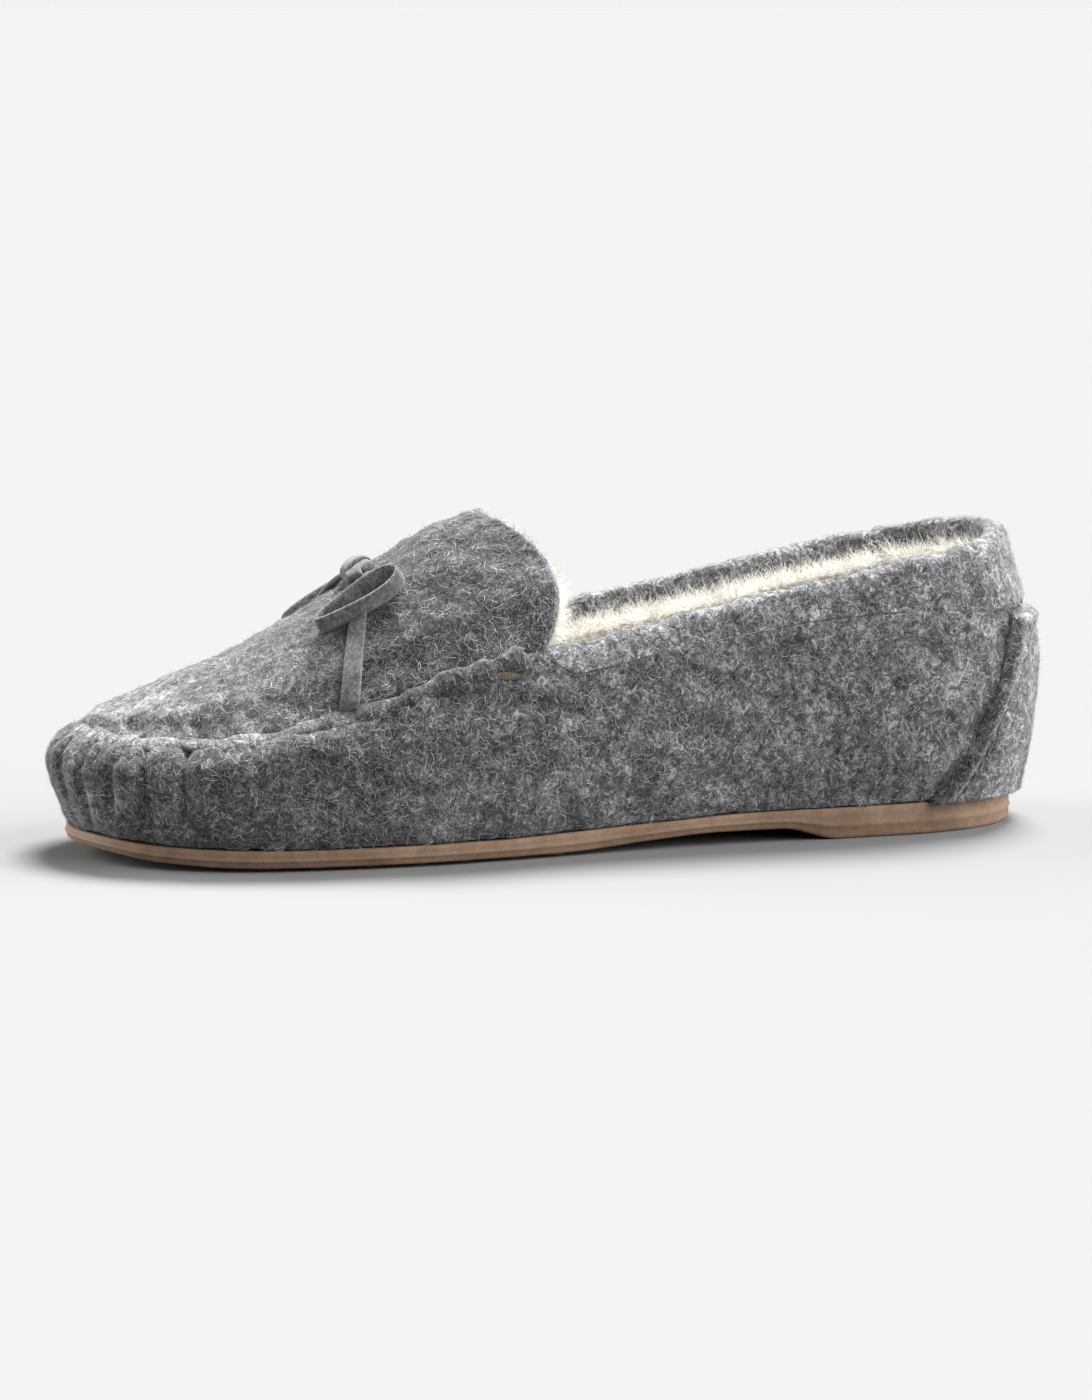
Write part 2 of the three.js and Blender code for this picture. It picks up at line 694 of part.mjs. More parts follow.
// A flat lace along a path, where widthAt gives the direction of its width at each point.
function ribbon(points, widthAt, closed) {
  const n = points.length;
  const face = (side) =>
    points.map((point, i) => {
      const next = points[closed ? (i + 1) % n : Math.min(i + 1, n - 1)];
      const before = points[closed ? (i + n - 1) % n : Math.max(i - 1, 0)];
      const width = widthAt(i);
      const normal = width.clone().cross(next.clone().sub(before).normalize()).normalize();
      return [-0.5, 0.5].map((w) =>
        point
          .clone()
          .addScaledVector(width, w * LACE_WIDTH)
          .addScaledVector(normal, (side * LACE_THICKNESS) / 2),
      );
    });
  return between(face(-1), face(1), closed);
}

// A loop of lace, standing on edge on its tail beside the knot and pointing towards the toe.
function laceLoop(side) {
  const station = KNOT_STATION - LOOP_AHEAD;
  const middle = side * LOOP_SIDE;
  const { up, toe, across } = axesOn(station, middle);
  const centre = inPlug(station, middle, -(LACE_WIDTH / 2 + LACE_THICKNESS + 2 * GAP));
  const steps = 24;
  const points = Array.from({ length: steps }, (_, i) => {
    const turn = (i / steps) * 2 * Math.PI;
    return centre
      .clone()
      .addScaledVector(toe, ((LOOP_LENGTH - LACE_THICKNESS) / 2) * Math.cos(turn))
      .addScaledVector(across, ((LOOP_WIDTH - LACE_THICKNESS) / 2) * Math.sin(turn));
  });
  return ribbon(points, () => up, true);
}

// A tail of lace, flat on the plug from the knot, under the loop and down to the seam.
function laceTail(side) {
  const steps = 12;
  const place = (i) => [
    KNOT_STATION - mix(...TAIL_AHEAD, i / steps),
    side * mix(...TAIL_SIDES, i / steps),
  ];
  const points = [];
  for (let i = 0; i <= steps; i++) points.push(inPlug(...place(i), -(LACE_THICKNESS / 2 + GAP)));
  const widthAt = (i) => axesOn(...place(i)).toe;
  return ribbon(points, widthAt, false);
}

// ---- The slipper ----

function finish(colour, roughness) {
  return () => new THREE.MeshStandardMaterial({ color: colour, roughness, metalness: 0 });
}

const rubber = finish(0x806a58, 0.75);
const board = finish(0xb9a98c, 0.9);
const foam = finish(0xe8e2d0, 0.9);
const fur = finish(0xe4dfd2, 1);
const felt = finish(0x77787a, 1);
const suede = finish(0x6d6e6f, 0.95);
const sewing = finish(0x6f685f, 0.8);
const stiffener = finish(0x8d8a83, 0.85);

const slipper = new THREE.Group();

function add(name, geometry, material) {
  const mesh = new THREE.Mesh(geometry, material());
  mesh.name = name;
  slipper.add(mesh);
}

add("outsole", outsole(), rubber);
add("bottom_filler", bottomFiller(), foam);
add("insole_board", insoleBoard(), board);
add("footbed_foam", footbedFoam(), foam);
add("footbed_fur_sock", footbedSock(), fur);
add("moccasin_wall", moccasinWall(), felt);
add("apron_plug", apronPlug(), felt);
add("collar_band", collarBand(), felt);
add("heel_patch", heelPatch(), felt);
add("heel_counter", heelCounter(), stiffener);
add("toe_wall_lining", toeWallLining(), fur);
add("quarter_lining_lateral", quarterLiningLateral(), fur);
add("quarter_lining_medial", quarterLiningMedial(), fur);
add("apron_lining", apronLining(), fur);
add("apron_seam_thread", apronSeamThread(), sewing);
add("collar_thread", collarThread(), sewing);
add("heel_patch_thread", heelPatchThread(), sewing);
add("throat_tack_lateral", throatTack(1), sewing);
add("throat_tack_medial", throatTack(-1), sewing);
add("lace_knot", laceKnot(), suede);
add("lace_loop_lateral", laceLoop(1), suede);
add("lace_loop_medial", laceLoop(-1), suede);
add("lace_tail_lateral", laceTail(1), suede);
add("lace_tail_medial", laceTail(-1), suede);

// It stands on the ground, centred over the origin.
const box = new THREE.Box3().setFromObject(slipper);
const middle = box.getCenter(new THREE.Vector3());
slipper.position.set(-middle.x, -middle.y, -box.min.z);

export default slipper;
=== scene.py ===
import math

import bmesh
import bpy
import numpy as np
from mathutils import Matrix, Vector, noise


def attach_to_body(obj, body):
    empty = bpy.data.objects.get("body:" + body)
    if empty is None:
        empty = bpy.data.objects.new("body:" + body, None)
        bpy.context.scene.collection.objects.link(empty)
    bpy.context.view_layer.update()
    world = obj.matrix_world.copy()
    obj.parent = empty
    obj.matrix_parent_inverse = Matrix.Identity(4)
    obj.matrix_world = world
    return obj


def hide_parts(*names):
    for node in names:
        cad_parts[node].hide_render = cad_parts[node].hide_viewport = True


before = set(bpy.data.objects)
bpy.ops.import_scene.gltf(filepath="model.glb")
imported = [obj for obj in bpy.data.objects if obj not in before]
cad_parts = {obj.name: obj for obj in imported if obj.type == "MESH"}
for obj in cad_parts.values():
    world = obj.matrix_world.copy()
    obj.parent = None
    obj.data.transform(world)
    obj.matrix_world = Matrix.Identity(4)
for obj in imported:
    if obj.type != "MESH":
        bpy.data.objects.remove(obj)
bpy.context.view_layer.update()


# ---- The room ----
# A pale floor under even, soft light, as in a light tent: one broad light overhead, weaker ones off the
# heel, off the toe and in front, and a dim surround that fills the shadows.
CAMERA_TURN, CAMERA_RISE, CAMERA_DISTANCE = 74, 8.5, 1.216
CAMERA_AIM = Vector((0, -0.00245, 0.034))
CAMERA_LENS, CAMERA_SENSOR = 158.6, 36
FILL_LIGHT, BACKDROP_LIGHT = 0.16, 0.88
FLOOR_RADIUS, FLOOR_GREY = 40, 0.2015

def direction(turn, rise):
    a, e = math.radians(turn), math.radians(rise)
    return Vector((math.sin(a) * math.cos(e), -math.cos(a) * math.cos(e), math.sin(e)))

def put(name, data):
    """An object that holds some data, in the scene."""
    made = bpy.data.objects.new(name, data)
    bpy.context.scene.collection.objects.link(made)
    return made

camera_data = bpy.data.cameras.new("camera")
camera_data.lens = CAMERA_LENS
camera_data.sensor_width = CAMERA_SENSOR
camera_data.sensor_fit = "HORIZONTAL"
camera = put("camera", camera_data)
camera.location = CAMERA_AIM + CAMERA_DISTANCE * direction(CAMERA_TURN, CAMERA_RISE)
camera.rotation_euler = direction(CAMERA_TURN, CAMERA_RISE).to_track_quat("Z", "Y").to_euler()
bpy.context.scene.camera = camera

for name, towards, strength, spread in (
    ("light_above", (-0.34, 0.29, 0.9), 10.2, 26),
    ("light_off_heel", (0.1, 0.92, 0.36), 3.4, 50),
    ("light_off_toe", (-0.5, -0.81, 0.3), 4.7, 50),
    ("light_in_front", (0.56, 0.64, 0.53), 3.4, 60),
):
    lamp = bpy.data.lights.new(name, "SUN")
    lamp.energy = strength
    lamp.angle = math.radians(spread)
    put(name, lamp).rotation_euler = Vector(towards).to_track_quat("Z", "Y").to_euler()

def feed(tree, node, inputs):
    """Gives each input of a node a value, or links it to another node's output."""
    for socket, value in inputs.items():
        if isinstance(value, bpy.types.NodeSocket):
            tree.links.new(value, node.inputs[socket])
        else:
            node.inputs[socket].default_value = value

def add_node(tree, kind, inputs=(), **settings):
    node = tree.nodes.new(kind)
    for word, value in settings.items():
        setattr(node, word, value)
    feed(tree, node, dict(inputs))
    return node

surround = bpy.data.worlds.new("surround")
surround.use_nodes = True
bpy.context.scene.world = surround
bpy.context.scene.view_settings.view_transform = "Standard"
air = surround.node_tree
fill = air.nodes["Background"]
feed(air, fill, {"Color": (1, 1, 1, 1), "Strength": FILL_LIGHT})
backdrop = add_node(air, "ShaderNodeBackground", {"Color": (1, 1, 0.995, 1), "Strength": BACKDROP_LIGHT})
seen = add_node(air, "ShaderNodeLightPath").outputs["Is Camera Ray"]
choice = add_node(air, "ShaderNodeMixShader", {"Fac": seen, 1: fill.outputs[0], 2: backdrop.outputs[0]})
feed(air, air.nodes["World Output"], {"Surface": choice.outputs[0]})

def plain(name, colour, roughness, sheen=0.0, specular=0.2):
    """A material of one colour."""
    made = bpy.data.materials.new(name)
    made.use_nodes = True
    feed(made.node_tree, made.node_tree.nodes["Principled BSDF"], {
        "Base Color": (*colour, 1), "Roughness": roughness,
        "Specular IOR Level": specular, "Sheen Weight": sheen,
    })
    return made

floor_mesh = bpy.data.meshes.new("floor")
floor_turn = np.linspace(0, 2 * math.pi, 64, False)
floor_edge = [(FLOOR_RADIUS * math.cos(a), FLOOR_RADIUS * math.sin(a), 0) for a in floor_turn]
floor_mesh.from_pydata(floor_edge, [], [range(len(floor_edge))])
floor_mesh.materials.append(plain("pale_floor", (FLOOR_GREY, FLOOR_GREY, FLOOR_GREY), 1.0, specular=0))
put("floor", floor_mesh)


# ---- The lace bow ----
# One flat suede thong, 5 mm wide, tied in a bow on the instep. Its two loops stand on edge beside the knot
# and its two tails lie under them, out to the plug's seam. The form of the foot comes first, in millimetres,
# since everything is laid over it. The sole's outline is given as shares of its length and half width.
MM = 0.001
SHIFT = np.array([-0.2293, -1.6721, 0])
SOLE_LENGTH, SOLE_WIDTH, GAP = 245.4, 78, 0.3
HEEL_END = SOLE_LENGTH / 2
SOLE_EDGE = np.array([
    [1, -0.1], [0.99, 0.21], [0.96, 0.5], [0.91, 0.74], [0.84, 0.91], [0.7, 1], [0.58, 0.95], [0.46, 0.85],
    [0.33, 0.785], [0.2, 0.765], [0.11, 0.72], [0.05, 0.58], [0.012, 0.32], [0, 0], [0.012, -0.32],
    [0.05, -0.58], [0.11, -0.72], [0.2, -0.755], [0.33, -0.72], [0.46, -0.76], [0.58, -0.88], [0.7, -0.98],
    [0.84, -0.95], [0.91, -0.84], [0.96, -0.66], [0.99, -0.4],
])

def through(points):
    """A smooth curve through points (place, value) that doesn't overshoot them."""
    at, value = np.array(sorted(points), float).T
    chord = np.diff(value) / np.diff(at)
    slope = np.zeros(len(at))
    for i in range(1, len(at) - 1):
        if chord[i - 1] * chord[i] > 0:
            slope[i] = 2 / (1 / chord[i - 1] + 1 / chord[i])
    def find(share):
        share = np.clip(share, at[0], at[-1])
        i = np.clip(np.searchsorted(at, share, side="right") - 1, 0, len(at) - 2)
        width = at[i + 1] - at[i]
        t = (share - at[i]) / width
        bend = (slope[i] - chord[i]) * (1 - t) - (slope[i + 1] - chord[i]) * t
        return value[i] + chord[i] * width * t + bend * width * t * (1 - t)
    return find

sole_top = through([(0, 8), (0.3, 7.9), (0.42, 6.9), (0.6, 5.4), (0.8, 5.2), (0.93, 5.9), (1, 7.2)])
rim_top = through([
    (0, 76), (0.04, 74.4), (0.16, 69.5), (0.3, 63), (0.42, 57.2), (0.5, 53.2), (0.558, 51.3), (0.62, 47.5),
    (0.7, 40.5), (0.8, 34), (0.86, 31), (0.92, 30.2), (1, 30.2),
])
crest_top = through([
    (0.558, 83), (0.6, 80.3), (0.64, 76.3), (0.77, 57.3), (0.85, 47), (0.925, 39.8), (0.985, 33.6), (1, 32.5),
])
collar_drop = through([(0, 19), (0.06, 17.5), (0.13, 13.5), (0.3, 8.5), (0.56, 7)])

def mix(a, b, t):
    return a + (b - a) * t

def smooth(low, high, x):
    t = np.clip((np.asarray(x, float) - low) / (high - low), 0, 1)
    return t * t * (3 - 2 * t)

def share_of(y):
    return (HEEL_END - y) / SOLE_LENGTH

def closed_curve(corners):
    """A closed centripetal spline through corners, 200 steps to each stretch."""
    runs, n = [], len(corners)
    t = np.linspace(0, 1, 200, endpoint=False)[:, None]
    for i in range(n):
        a, b, c, d = (corners[(i + j - 1) % n] for j in range(4))
        u, v, w = (np.sum((q - p) ** 2) ** 0.25 for p, q in ((a, b), (b, c), (c, d)))
        leave = ((b - a) / u - (c - a) / (u + v) + (c - b) / v) * v
        reach = ((c - b) / v - (d - b) / (v + w) + (d - c) / w) * v
        square, cube = 3 * c - 3 * b - 2 * leave - reach, 2 * b - 2 * c + leave + reach
        runs.append(b + leave * t + square * t**2 + cube * t**3)
    return np.vstack(runs + [corners[:1]])

sole_line = closed_curve(SOLE_EDGE[:, ::-1] * [SOLE_WIDTH / 2, -SOLE_LENGTH] + [0, HEEL_END])
sole_along = np.concatenate([[0], np.cumsum(np.hypot(*np.diff(sole_line, axis=0).T))])
SOLE_ROUND = sole_along[-1]
sole_along /= SOLE_ROUND

def edge_at(place):
    """A point of the sole's edge; place runs from 0 at the toe's tip, along the outer side, round to 1."""
    place = np.mod(place, 1)
    return np.stack([np.interp(place, sole_along, sole_line[:, i]) for i in (0, 1)], -1)

def place_on(side, share):
    """The place on the sole's edge at a share of its length, on the outer side (1) or the inner side (-1)."""
    half = sole_along < 0.495 if side > 0 else sole_along > 0.505
    y = HEEL_END - np.asarray(share) * SOLE_LENGTH
    return np.interp(side * y, side * sole_line[half, 1], sole_along[half])

# The upper is counted in columns round it: 0 is the throat's outer corner, 61 its inner corner after the
# heel, and the toe's tip lies between 79 and 80.
THROAT, REAR, COLUMNS, STATIONS, TOE_TIP = 0.558, 61, 98, 18, 79
OUTER_CORNER, INNER_CORNER = float(place_on(1, THROAT)), float(place_on(-1, THROAT))

def rib(k):
    """Where column k stands on the sole's edge, the way out from there and its share of the sole's length."""
    k = np.mod(k, COLUMNS)
    rear = mix(OUTER_CORNER, INNER_CORNER, k / REAR)
    toe = mix(INNER_CORNER, 1 + OUTER_CORNER, (k - REAR) / (COLUMNS - REAR))
    place = np.where(k <= REAR, rear, toe)
    point = edge_at(place)
    run = edge_at(place + 1e-3) - edge_at(place - 1e-3)
    run /= np.linalg.norm(run, axis=-1, keepdims=True)
    return point, np.stack([run[..., 1], -run[..., 0]], -1), share_of(point[..., 1])

def column_at(share):
    return (place_on(1, share) - OUTER_CORNER) / (INNER_CORNER - OUTER_CORNER) * REAR

TOE_LEAN, TOE_SHOULDER, TOE_BULGE = 4.2, 7.4, 0.5
HEEL_LEAN, SIDE_LEAN, HEEL_BULGE, SIDE_BULGE = -2, 0.6, 5, 3.6

def shell(k, f):
    """The outer face of the wall at column k, at a share f of its height."""
    k, f = np.broadcast_arrays(np.asarray(k, float), np.asarray(f, float))
    point, out, share = rib(k)
    foot = sole_top(share) + GAP
    height = rim_top(share) - foot
    rear_out = mix(HEEL_LEAN, SIDE_LEAN, smooth(0, 0.12, share)) * f
    rear_out += mix(HEEL_BULGE, SIDE_BULGE, smooth(0, 0.15, share)) * np.sin(np.pi * f)
    turn = (f - 0.5) * np.pi
    low_out = TOE_LEAN * 2 * f + TOE_BULGE * np.sin(2 * np.pi * f)
    toe_out = np.where(f < 0.5, low_out, TOE_LEAN - TOE_SHOULDER * (1 - np.cos(turn)))
    low_up = (height - TOE_SHOULDER) * 2 * f
    toe_up = np.where(f < 0.5, low_up, height - TOE_SHOULDER * (1 - np.sin(turn)))
    toe = smooth(0.6, 0.8, share)
    flat = point + out * mix(rear_out, toe_out, toe)[..., None]
    return np.concatenate([flat, (foot + mix(f * height, toe_up, toe))[..., None]], -1)

def unit(v):
    return v / np.maximum(np.linalg.norm(v, axis=-1, keepdims=True), 1e-9)

def normal_of(face, a, b, da, db):
    return unit(np.cross(face(a + da, b) - face(a - da, b), face(a, b + db) - face(a, b - db)))

def shell_normal(k, f):
    return normal_of(shell, np.asarray(k, float), np.minimum(f, 0.995), 0.2, 0.005)

TONGUE_NOTCH, TONGUE_EARS, EAR_AT, ARCH_POWER = 4, 8, 0.75, 0.85

def tongue_back(t):
    """How far the tongue's back edge stands behind its last station: two ears and a notch between them."""
    side = np.abs(t)
    rounded = np.sqrt(np.maximum(0, 1 - (np.maximum(side - EAR_AT, 0) / (1 - EAR_AT)) ** 2))
    return (-TONGUE_NOTCH + (TONGUE_NOTCH + TONGUE_EARS) * smooth(0, EAR_AT, side)) * rounded

def plug(i, t):
    """The outer face of the plug at station i from the toe's tip, with t from -1 to 1 across it."""
    i, t = np.broadcast_arrays(np.asarray(i, float), np.asarray(t, float))
    a, b = shell(TOE_TIP - i, 1.0), shell(TOE_TIP + 1 + i, 1.0)
    base = a + (b - a) * ((t + 1) / 2)[..., None]
    centre = (a + b) / 2
    rise = (crest_top(share_of(centre[..., 1])) - centre[..., 2]) * np.minimum(1, i / 1.5)
    base[..., 2] += rise * np.maximum(0, 1 - t * t) ** ARCH_POWER
    base[..., 1] += tongue_back(t) * smooth(STATIONS - 5, STATIONS, i)
    return base

def plug_normal(i, t):
    return -normal_of(plug, np.clip(i, 0.3, STATIONS - 0.1), np.clip(t, -0.97, 0.97), 0.1, 0.02)

def seam_mitre(i, side):
    """The way out of the seam between wall and plug, halfway between their own ways out."""
    column = np.where(side > 0, TOE_TIP + 1 + i, TOE_TIP - i)
    wall, top = shell_normal(column, np.ones_like(column, float)), plug_normal(i, side * 0.95)
    middle = unit(wall + top)
    return middle / np.maximum(0.75, np.sum(middle * wall, -1, keepdims=True))

def in_wall(k, f, depth):
    """A point so many millimetres inside the wall's outer face; a depth below 0 lies outside it."""
    k, f, depth = np.broadcast_arrays(np.asarray(k, float), np.asarray(f, float), depth)
    column = np.mod(k, COLUMNS)
    side = np.where(column > TOE_TIP + 0.5, 1.0, -1.0)
    station = np.maximum(0, np.where(side > 0, column - TOE_TIP - 1, TOE_TIP - column))
    share = np.where(column >= REAR, smooth(0.6, 1, f), 0)[..., None]
    normal = mix(shell_normal(k, f), seam_mitre(np.minimum(station, STATIONS), side), share)
    return shell(k, f) - normal * depth[..., None]

def in_plug(i, t, depth):
    """A point so many millimetres inside the plug's outer face."""
    i, t, depth = np.broadcast_arrays(np.asarray(i, float), np.asarray(t, float), depth)
    share = smooth(0.75, 1, np.abs(t))[..., None]
    normal = mix(plug_normal(i, t), seam_mitre(i, np.where(t < 0, -1.0, 1.0)), share)
    return plug(i, t) - normal * depth[..., None]

def placed(points):
    return (np.asarray(points, float) + SHIFT) * MM

def body_of(name, points, faces, material):
    """An object of points in millimetres, with smooth faces."""
    mesh = bpy.data.meshes.new(name)
    mesh.from_pydata(placed(points).tolist(), [], [list(map(int, face)) for face in faces])
    mesh.validate()
    mesh.polygons.foreach_set("use_smooth", [True] * len(mesh.polygons))
    mesh.materials.append(material)
    return put(name, mesh)

def attach(piece, slot, *replaced):
    """Puts a piece on the slipper's one body and hides the CAD nodes it stands for; its slot is not used."""
    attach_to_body(piece, "root")
    for node in replaced:
        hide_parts(node)
    return piece

def net(n, m, ring_of_rows=False, ring_of_columns=False):
    """The four-cornered faces between n rows of m points; either way round may close on itself."""
    return [
        (a * m + b, a * m + (b + 1) % m, (a + 1) % n * m + (b + 1) % m, (a + 1) % n * m + b)
        for a in range(n - 1 + ring_of_rows) for b in range(m - 1 + ring_of_columns)
    ]

def capped(n, m):
    """The faces of a tube of n rings of m points, closed on one more point at each end."""
    first = [(n * m, (j + 1) % m, j) for j in range(m)]
    last = [(n * m + 1, (n - 1) * m + j, (n - 1) * m + (j + 1) % m) for j in range(m)]
    return net(n, m, False, True) + first + last

skins = {}
def strap(name, points, widths, half_width, half_height, material, square=3.2, sides=16, closed=False):
    """A band along a line of points; widths gives the direction of its width at each."""
    points, widths = np.asarray(points, float), unit(np.asarray(widths, float))
    n = len(points)
    run = np.roll(points, -1, 0) - np.roll(points, 1, 0) if closed else np.gradient(points, axis=0)
    rise = unit(np.cross(widths, unit(run)))
    turn = np.arange(sides) / sides * 2 * np.pi
    c, s = (np.sign(x) * np.abs(x) ** (2 / square) for x in (np.cos(turn), np.sin(turn)))
    hw, hh = (np.broadcast_to(x, n)[:, None, None] for x in (half_width, half_height))
    skin = points[:, None] + widths[:, None] * hw * c[None, :, None] + rise[:, None] * hh * s[None, :, None]
    skins[name] = np.concatenate([skin, skin[:, :1]], 1)
    skin = skin.reshape(-1, 3)
    faces = net(n, sides, True, True) if closed else capped(n, sides)
    if not closed:
        skin = np.vstack([skin, points[:1], points[-1:]])
    return body_of(name, skin, [tuple(reversed(f)) for f in faces], material)

def tinted(name, tones, roughness, sheen, bump):
    """A material whose colour runs through tones by noises of several sizes, each (size in mm, share, warp).

    Painted light and shade make it darker or lighter along Y, given as (toe end, shift there, heel end, shift
    there)."""
    made = plain(name, (0.5, 0.5, 0.5), roughness, sheen)
    tree = made.node_tree
    where = add_node(tree, "ShaderNodeTexCoord").outputs["Object"]
    total = 0
    for size, share, warp in tones["noises"]:
        grain = add_node(tree, "ShaderNodeTexNoise", {
            "Vector": where, "Scale": 1000 / size, "Detail": 4, "Roughness": 0.6, "Distortion": warp,
        })
        sum_up = add_node(tree, "ShaderNodeMath", operation="MULTIPLY_ADD")
        feed(tree, sum_up, {0: grain.outputs["Fac"], 1: share, 2: total})
        total = sum_up.outputs[0]
    if tones.get("painted_shading"):
        along = add_node(tree, "ShaderNodeSeparateXYZ", {0: where}).outputs["Y"]
        ends = dict(zip(("From Min", "To Min", "From Max", "To Max"), tones["painted_shading"]))
        shift = add_node(tree, "ShaderNodeMapRange", {"Value": along, **ends}).outputs["Result"]
        total = add_node(tree, "ShaderNodeMath", {0: shift, 1: total}, operation="ADD").outputs[0]
    ramp = add_node(tree, "ShaderNodeValToRGB", {"Fac": total})
    stops = ramp.color_ramp.elements
    while len(stops) < len(tones["ramp"]):
        stops.new(0.5)
    for stop, (place, colour) in zip(stops, tones["ramp"]):
        stop.position = place
        stop.color = (*colour, 1)
    depth = {"Strength": bump[0], "Distance": bump[1] * MM, "Height": total}
    relief = add_node(tree, "ShaderNodeBump", depth)
    shader = tree.nodes["Principled BSDF"]
    feed(tree, shader, {"Base Color": ramp.outputs["Color"], "Normal": relief.outputs["Normal"]})
    return made

suede = tinted("lace_suede", {
    "noises": [(5, 0.25, 0), (0.9, 0.4, 0.6), (0.35, 0.35, 0)],
    "ramp": [(0.4, (0.028, 0.03, 0.029)), (0.5, (0.08, 0.084, 0.082)), (0.6, (0.18, 0.184, 0.18))],
}, 1.0, 0.35, (1.0, 0.5))

LACE_WIDTH, LACE_THICKNESS, KNOT_SHARE = 5, 1.7, 0.695
stations = np.linspace(STATIONS, 0, 400)
KNOT_STATION = float(np.interp(KNOT_SHARE, share_of(plug(stations, 0.0)[:, 1]), stations))
LOOP_REACH, LOOP_OPENING = 11.65, 2.9

def axes_on(i, t):
    """The ways up, towards the toe and across at a spot on the plug."""
    up = plug_normal(i, t)
    toe = unit(plug(i - 0.3, t) - plug(i + 0.3, t))
    return up, toe, -np.cross(toe, up)

knot_up, knot_toe, knot_across = axes_on(KNOT_STATION, 0.0)
knot_centre = in_plug(KNOT_STATION - 0.2, 0.03, -1.7)

def knot_turn(name, along, over, reach, height, lift, spin, girth):
    """One turn of the thong round the knot, as a closed band."""
    turn = np.linspace(0, 2 * np.pi, 28, endpoint=False)[:, None]
    a = unit(along * math.cos(spin) + over * math.sin(spin))
    b = unit(over * math.cos(spin) - along * math.sin(spin))
    ring = knot_centre + lift * knot_up + a * reach * np.cos(turn) + knot_up * height * np.sin(turn)
    return strap(name, ring, np.repeat([b], 28, 0), LACE_WIDTH / 2 * girth, 0.8, suede, closed=True)

knot_parts = [
    knot_turn("knot_over_turn", knot_toe, knot_across, 3.1, 2.0, 0.3, 0.25, 1.1),
    knot_turn("knot_side_turn", knot_across, knot_toe, 6.2, 1.5, -0.3, 0.35, 0.85),
    knot_turn("knot_under_turn", knot_across, knot_toe, 5.0, 1.6, -0.4, -0.4, 0.8),
]
for turn_of_lace in knot_parts:
    attach(turn_of_lace, "suede")
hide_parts("lace_knot")

LOOP_SPOTS = [(1, "lateral", 0.62, 0.445, 2.8), (-1, "medial", 0.4, -0.665, 2.45)]
for side, word, nearer_toe, middle, raised in LOOP_SPOTS:
    station = KNOT_STATION - nearer_toe
    up, toe, across = axes_on(station, middle)
    centre = in_plug(station, middle, -raised)
    turn = np.linspace(-np.pi + 0.16, np.pi - 0.16, 60)[:, None]
    route = centre + toe * LOOP_REACH * np.cos(turn)
    route = route + across * LOOP_OPENING * np.sin(turn) * (1 - 0.3 * np.cos(turn))
    route = route + up * (0.3 * np.sin(2 * turn) - 0.5 * np.cos(turn))
    flare = np.where(np.sin(turn) < 0, 1.15, 0.12) * np.sin(turn) * side
    loop = strap("suede_loop_" + word, route, up + flare * side * across, LACE_WIDTH / 2, 0.85, suede)
    attach(loop, "suede", "lace_loop_" + word)
    run = np.linspace(0, 1, 50)
    spots = (KNOT_STATION - mix(0.2, 1.8, run), side * mix(0.165, 0.985, run))
    route = in_plug(*spots, -(LACE_THICKNESS / 2 + GAP - 0.15) - 0.25 * np.sin(run * 9))
    wide = axes_on(*spots)[1]
    tail_width = LACE_WIDTH / 2 * mix(0.86, 1.04, smooth(0, 0.5, run)) * np.where(run > 0.985, 0.9, 1)
    tail = strap("suede_tail_" + word, route, wide, tail_width, 0.75, suede)
    attach(tail, "suede", "lace_tail_" + word)


# ---- The outsole ----
# One moulding of tan-brown rubber, thin at the waist, with a raised heel, a mould line round its edge, a
# hollow under the heel and rows of low round studs.
rubber = tinted("sole_rubber", {
    "noises": [(38, 0.42, 0.4), (4, 0.3, 0), (0.5, 0.28, 0)],
    "ramp": [(0.36, (0.133, 0.082, 0.053)), (0.5, (0.206, 0.135, 0.091)), (0.64, (0.268, 0.186, 0.129))],
}, 0.72, 0.0, (0.35, 0.12))
sole_bottom = through([
    (0, 0), (0.225, 0), (0.285, 3.3), (0.36, 3.4), (0.42, 2.6),
    (0.52, 1), (0.6, 0.9), (0.84, 0.9), (0.93, 1.9), (1, 3.9),
])
EDGE_PROFILE = [
    (0, 1.0), (0, 0.35), (0.1, 0), (0.3, 0), (0.5, -0.05), (0.56, -0.3),
    (0.62, -0.02), (0.84, 0.08), (0.93, 0.2), (0.98, 0.5), (1, 1.0), (1, 1.9),
]
HOLLOW_AT, HOLLOW_REACH, HOLLOW_HALF_WIDTH, HOLLOW_DEPTH = 0.115, 0.084, 22, 0.9

def lid(k, inward, inset=0.0):
    """A point on the level of the sole, from its edge (0) to the line along its middle (1)."""
    (p, out, _), (q, out_q, _) = rib(k), rib(2 * TOE_TIP + 1 - k)
    p, q = p - out * inset, q - out_q * inset
    return p + (0.5 * (p + q) - p) * inward

def rings(name, levels, material):
    """A body of rings round the sole; its first and last rings meet themselves along the middle line."""
    made = body_of(name, np.vstack(levels), net(len(levels), len(levels[0]), False, True), material)
    tidy(made)
    return made

def tidy(made):
    """Merges points that meet and turns the faces outwards."""
    work = bmesh.new()
    work.from_mesh(made.data)
    bmesh.ops.remove_doubles(work, verts=work.verts, dist=2e-6)
    bmesh.ops.dissolve_degenerate(work, dist=1e-7, edges=work.edges)
    bmesh.ops.recalc_face_normals(work, faces=work.faces)
    work.to_mesh(made.data)
    work.free()
    made.data.polygons.foreach_set("use_smooth", [True] * len(made.data.polygons))

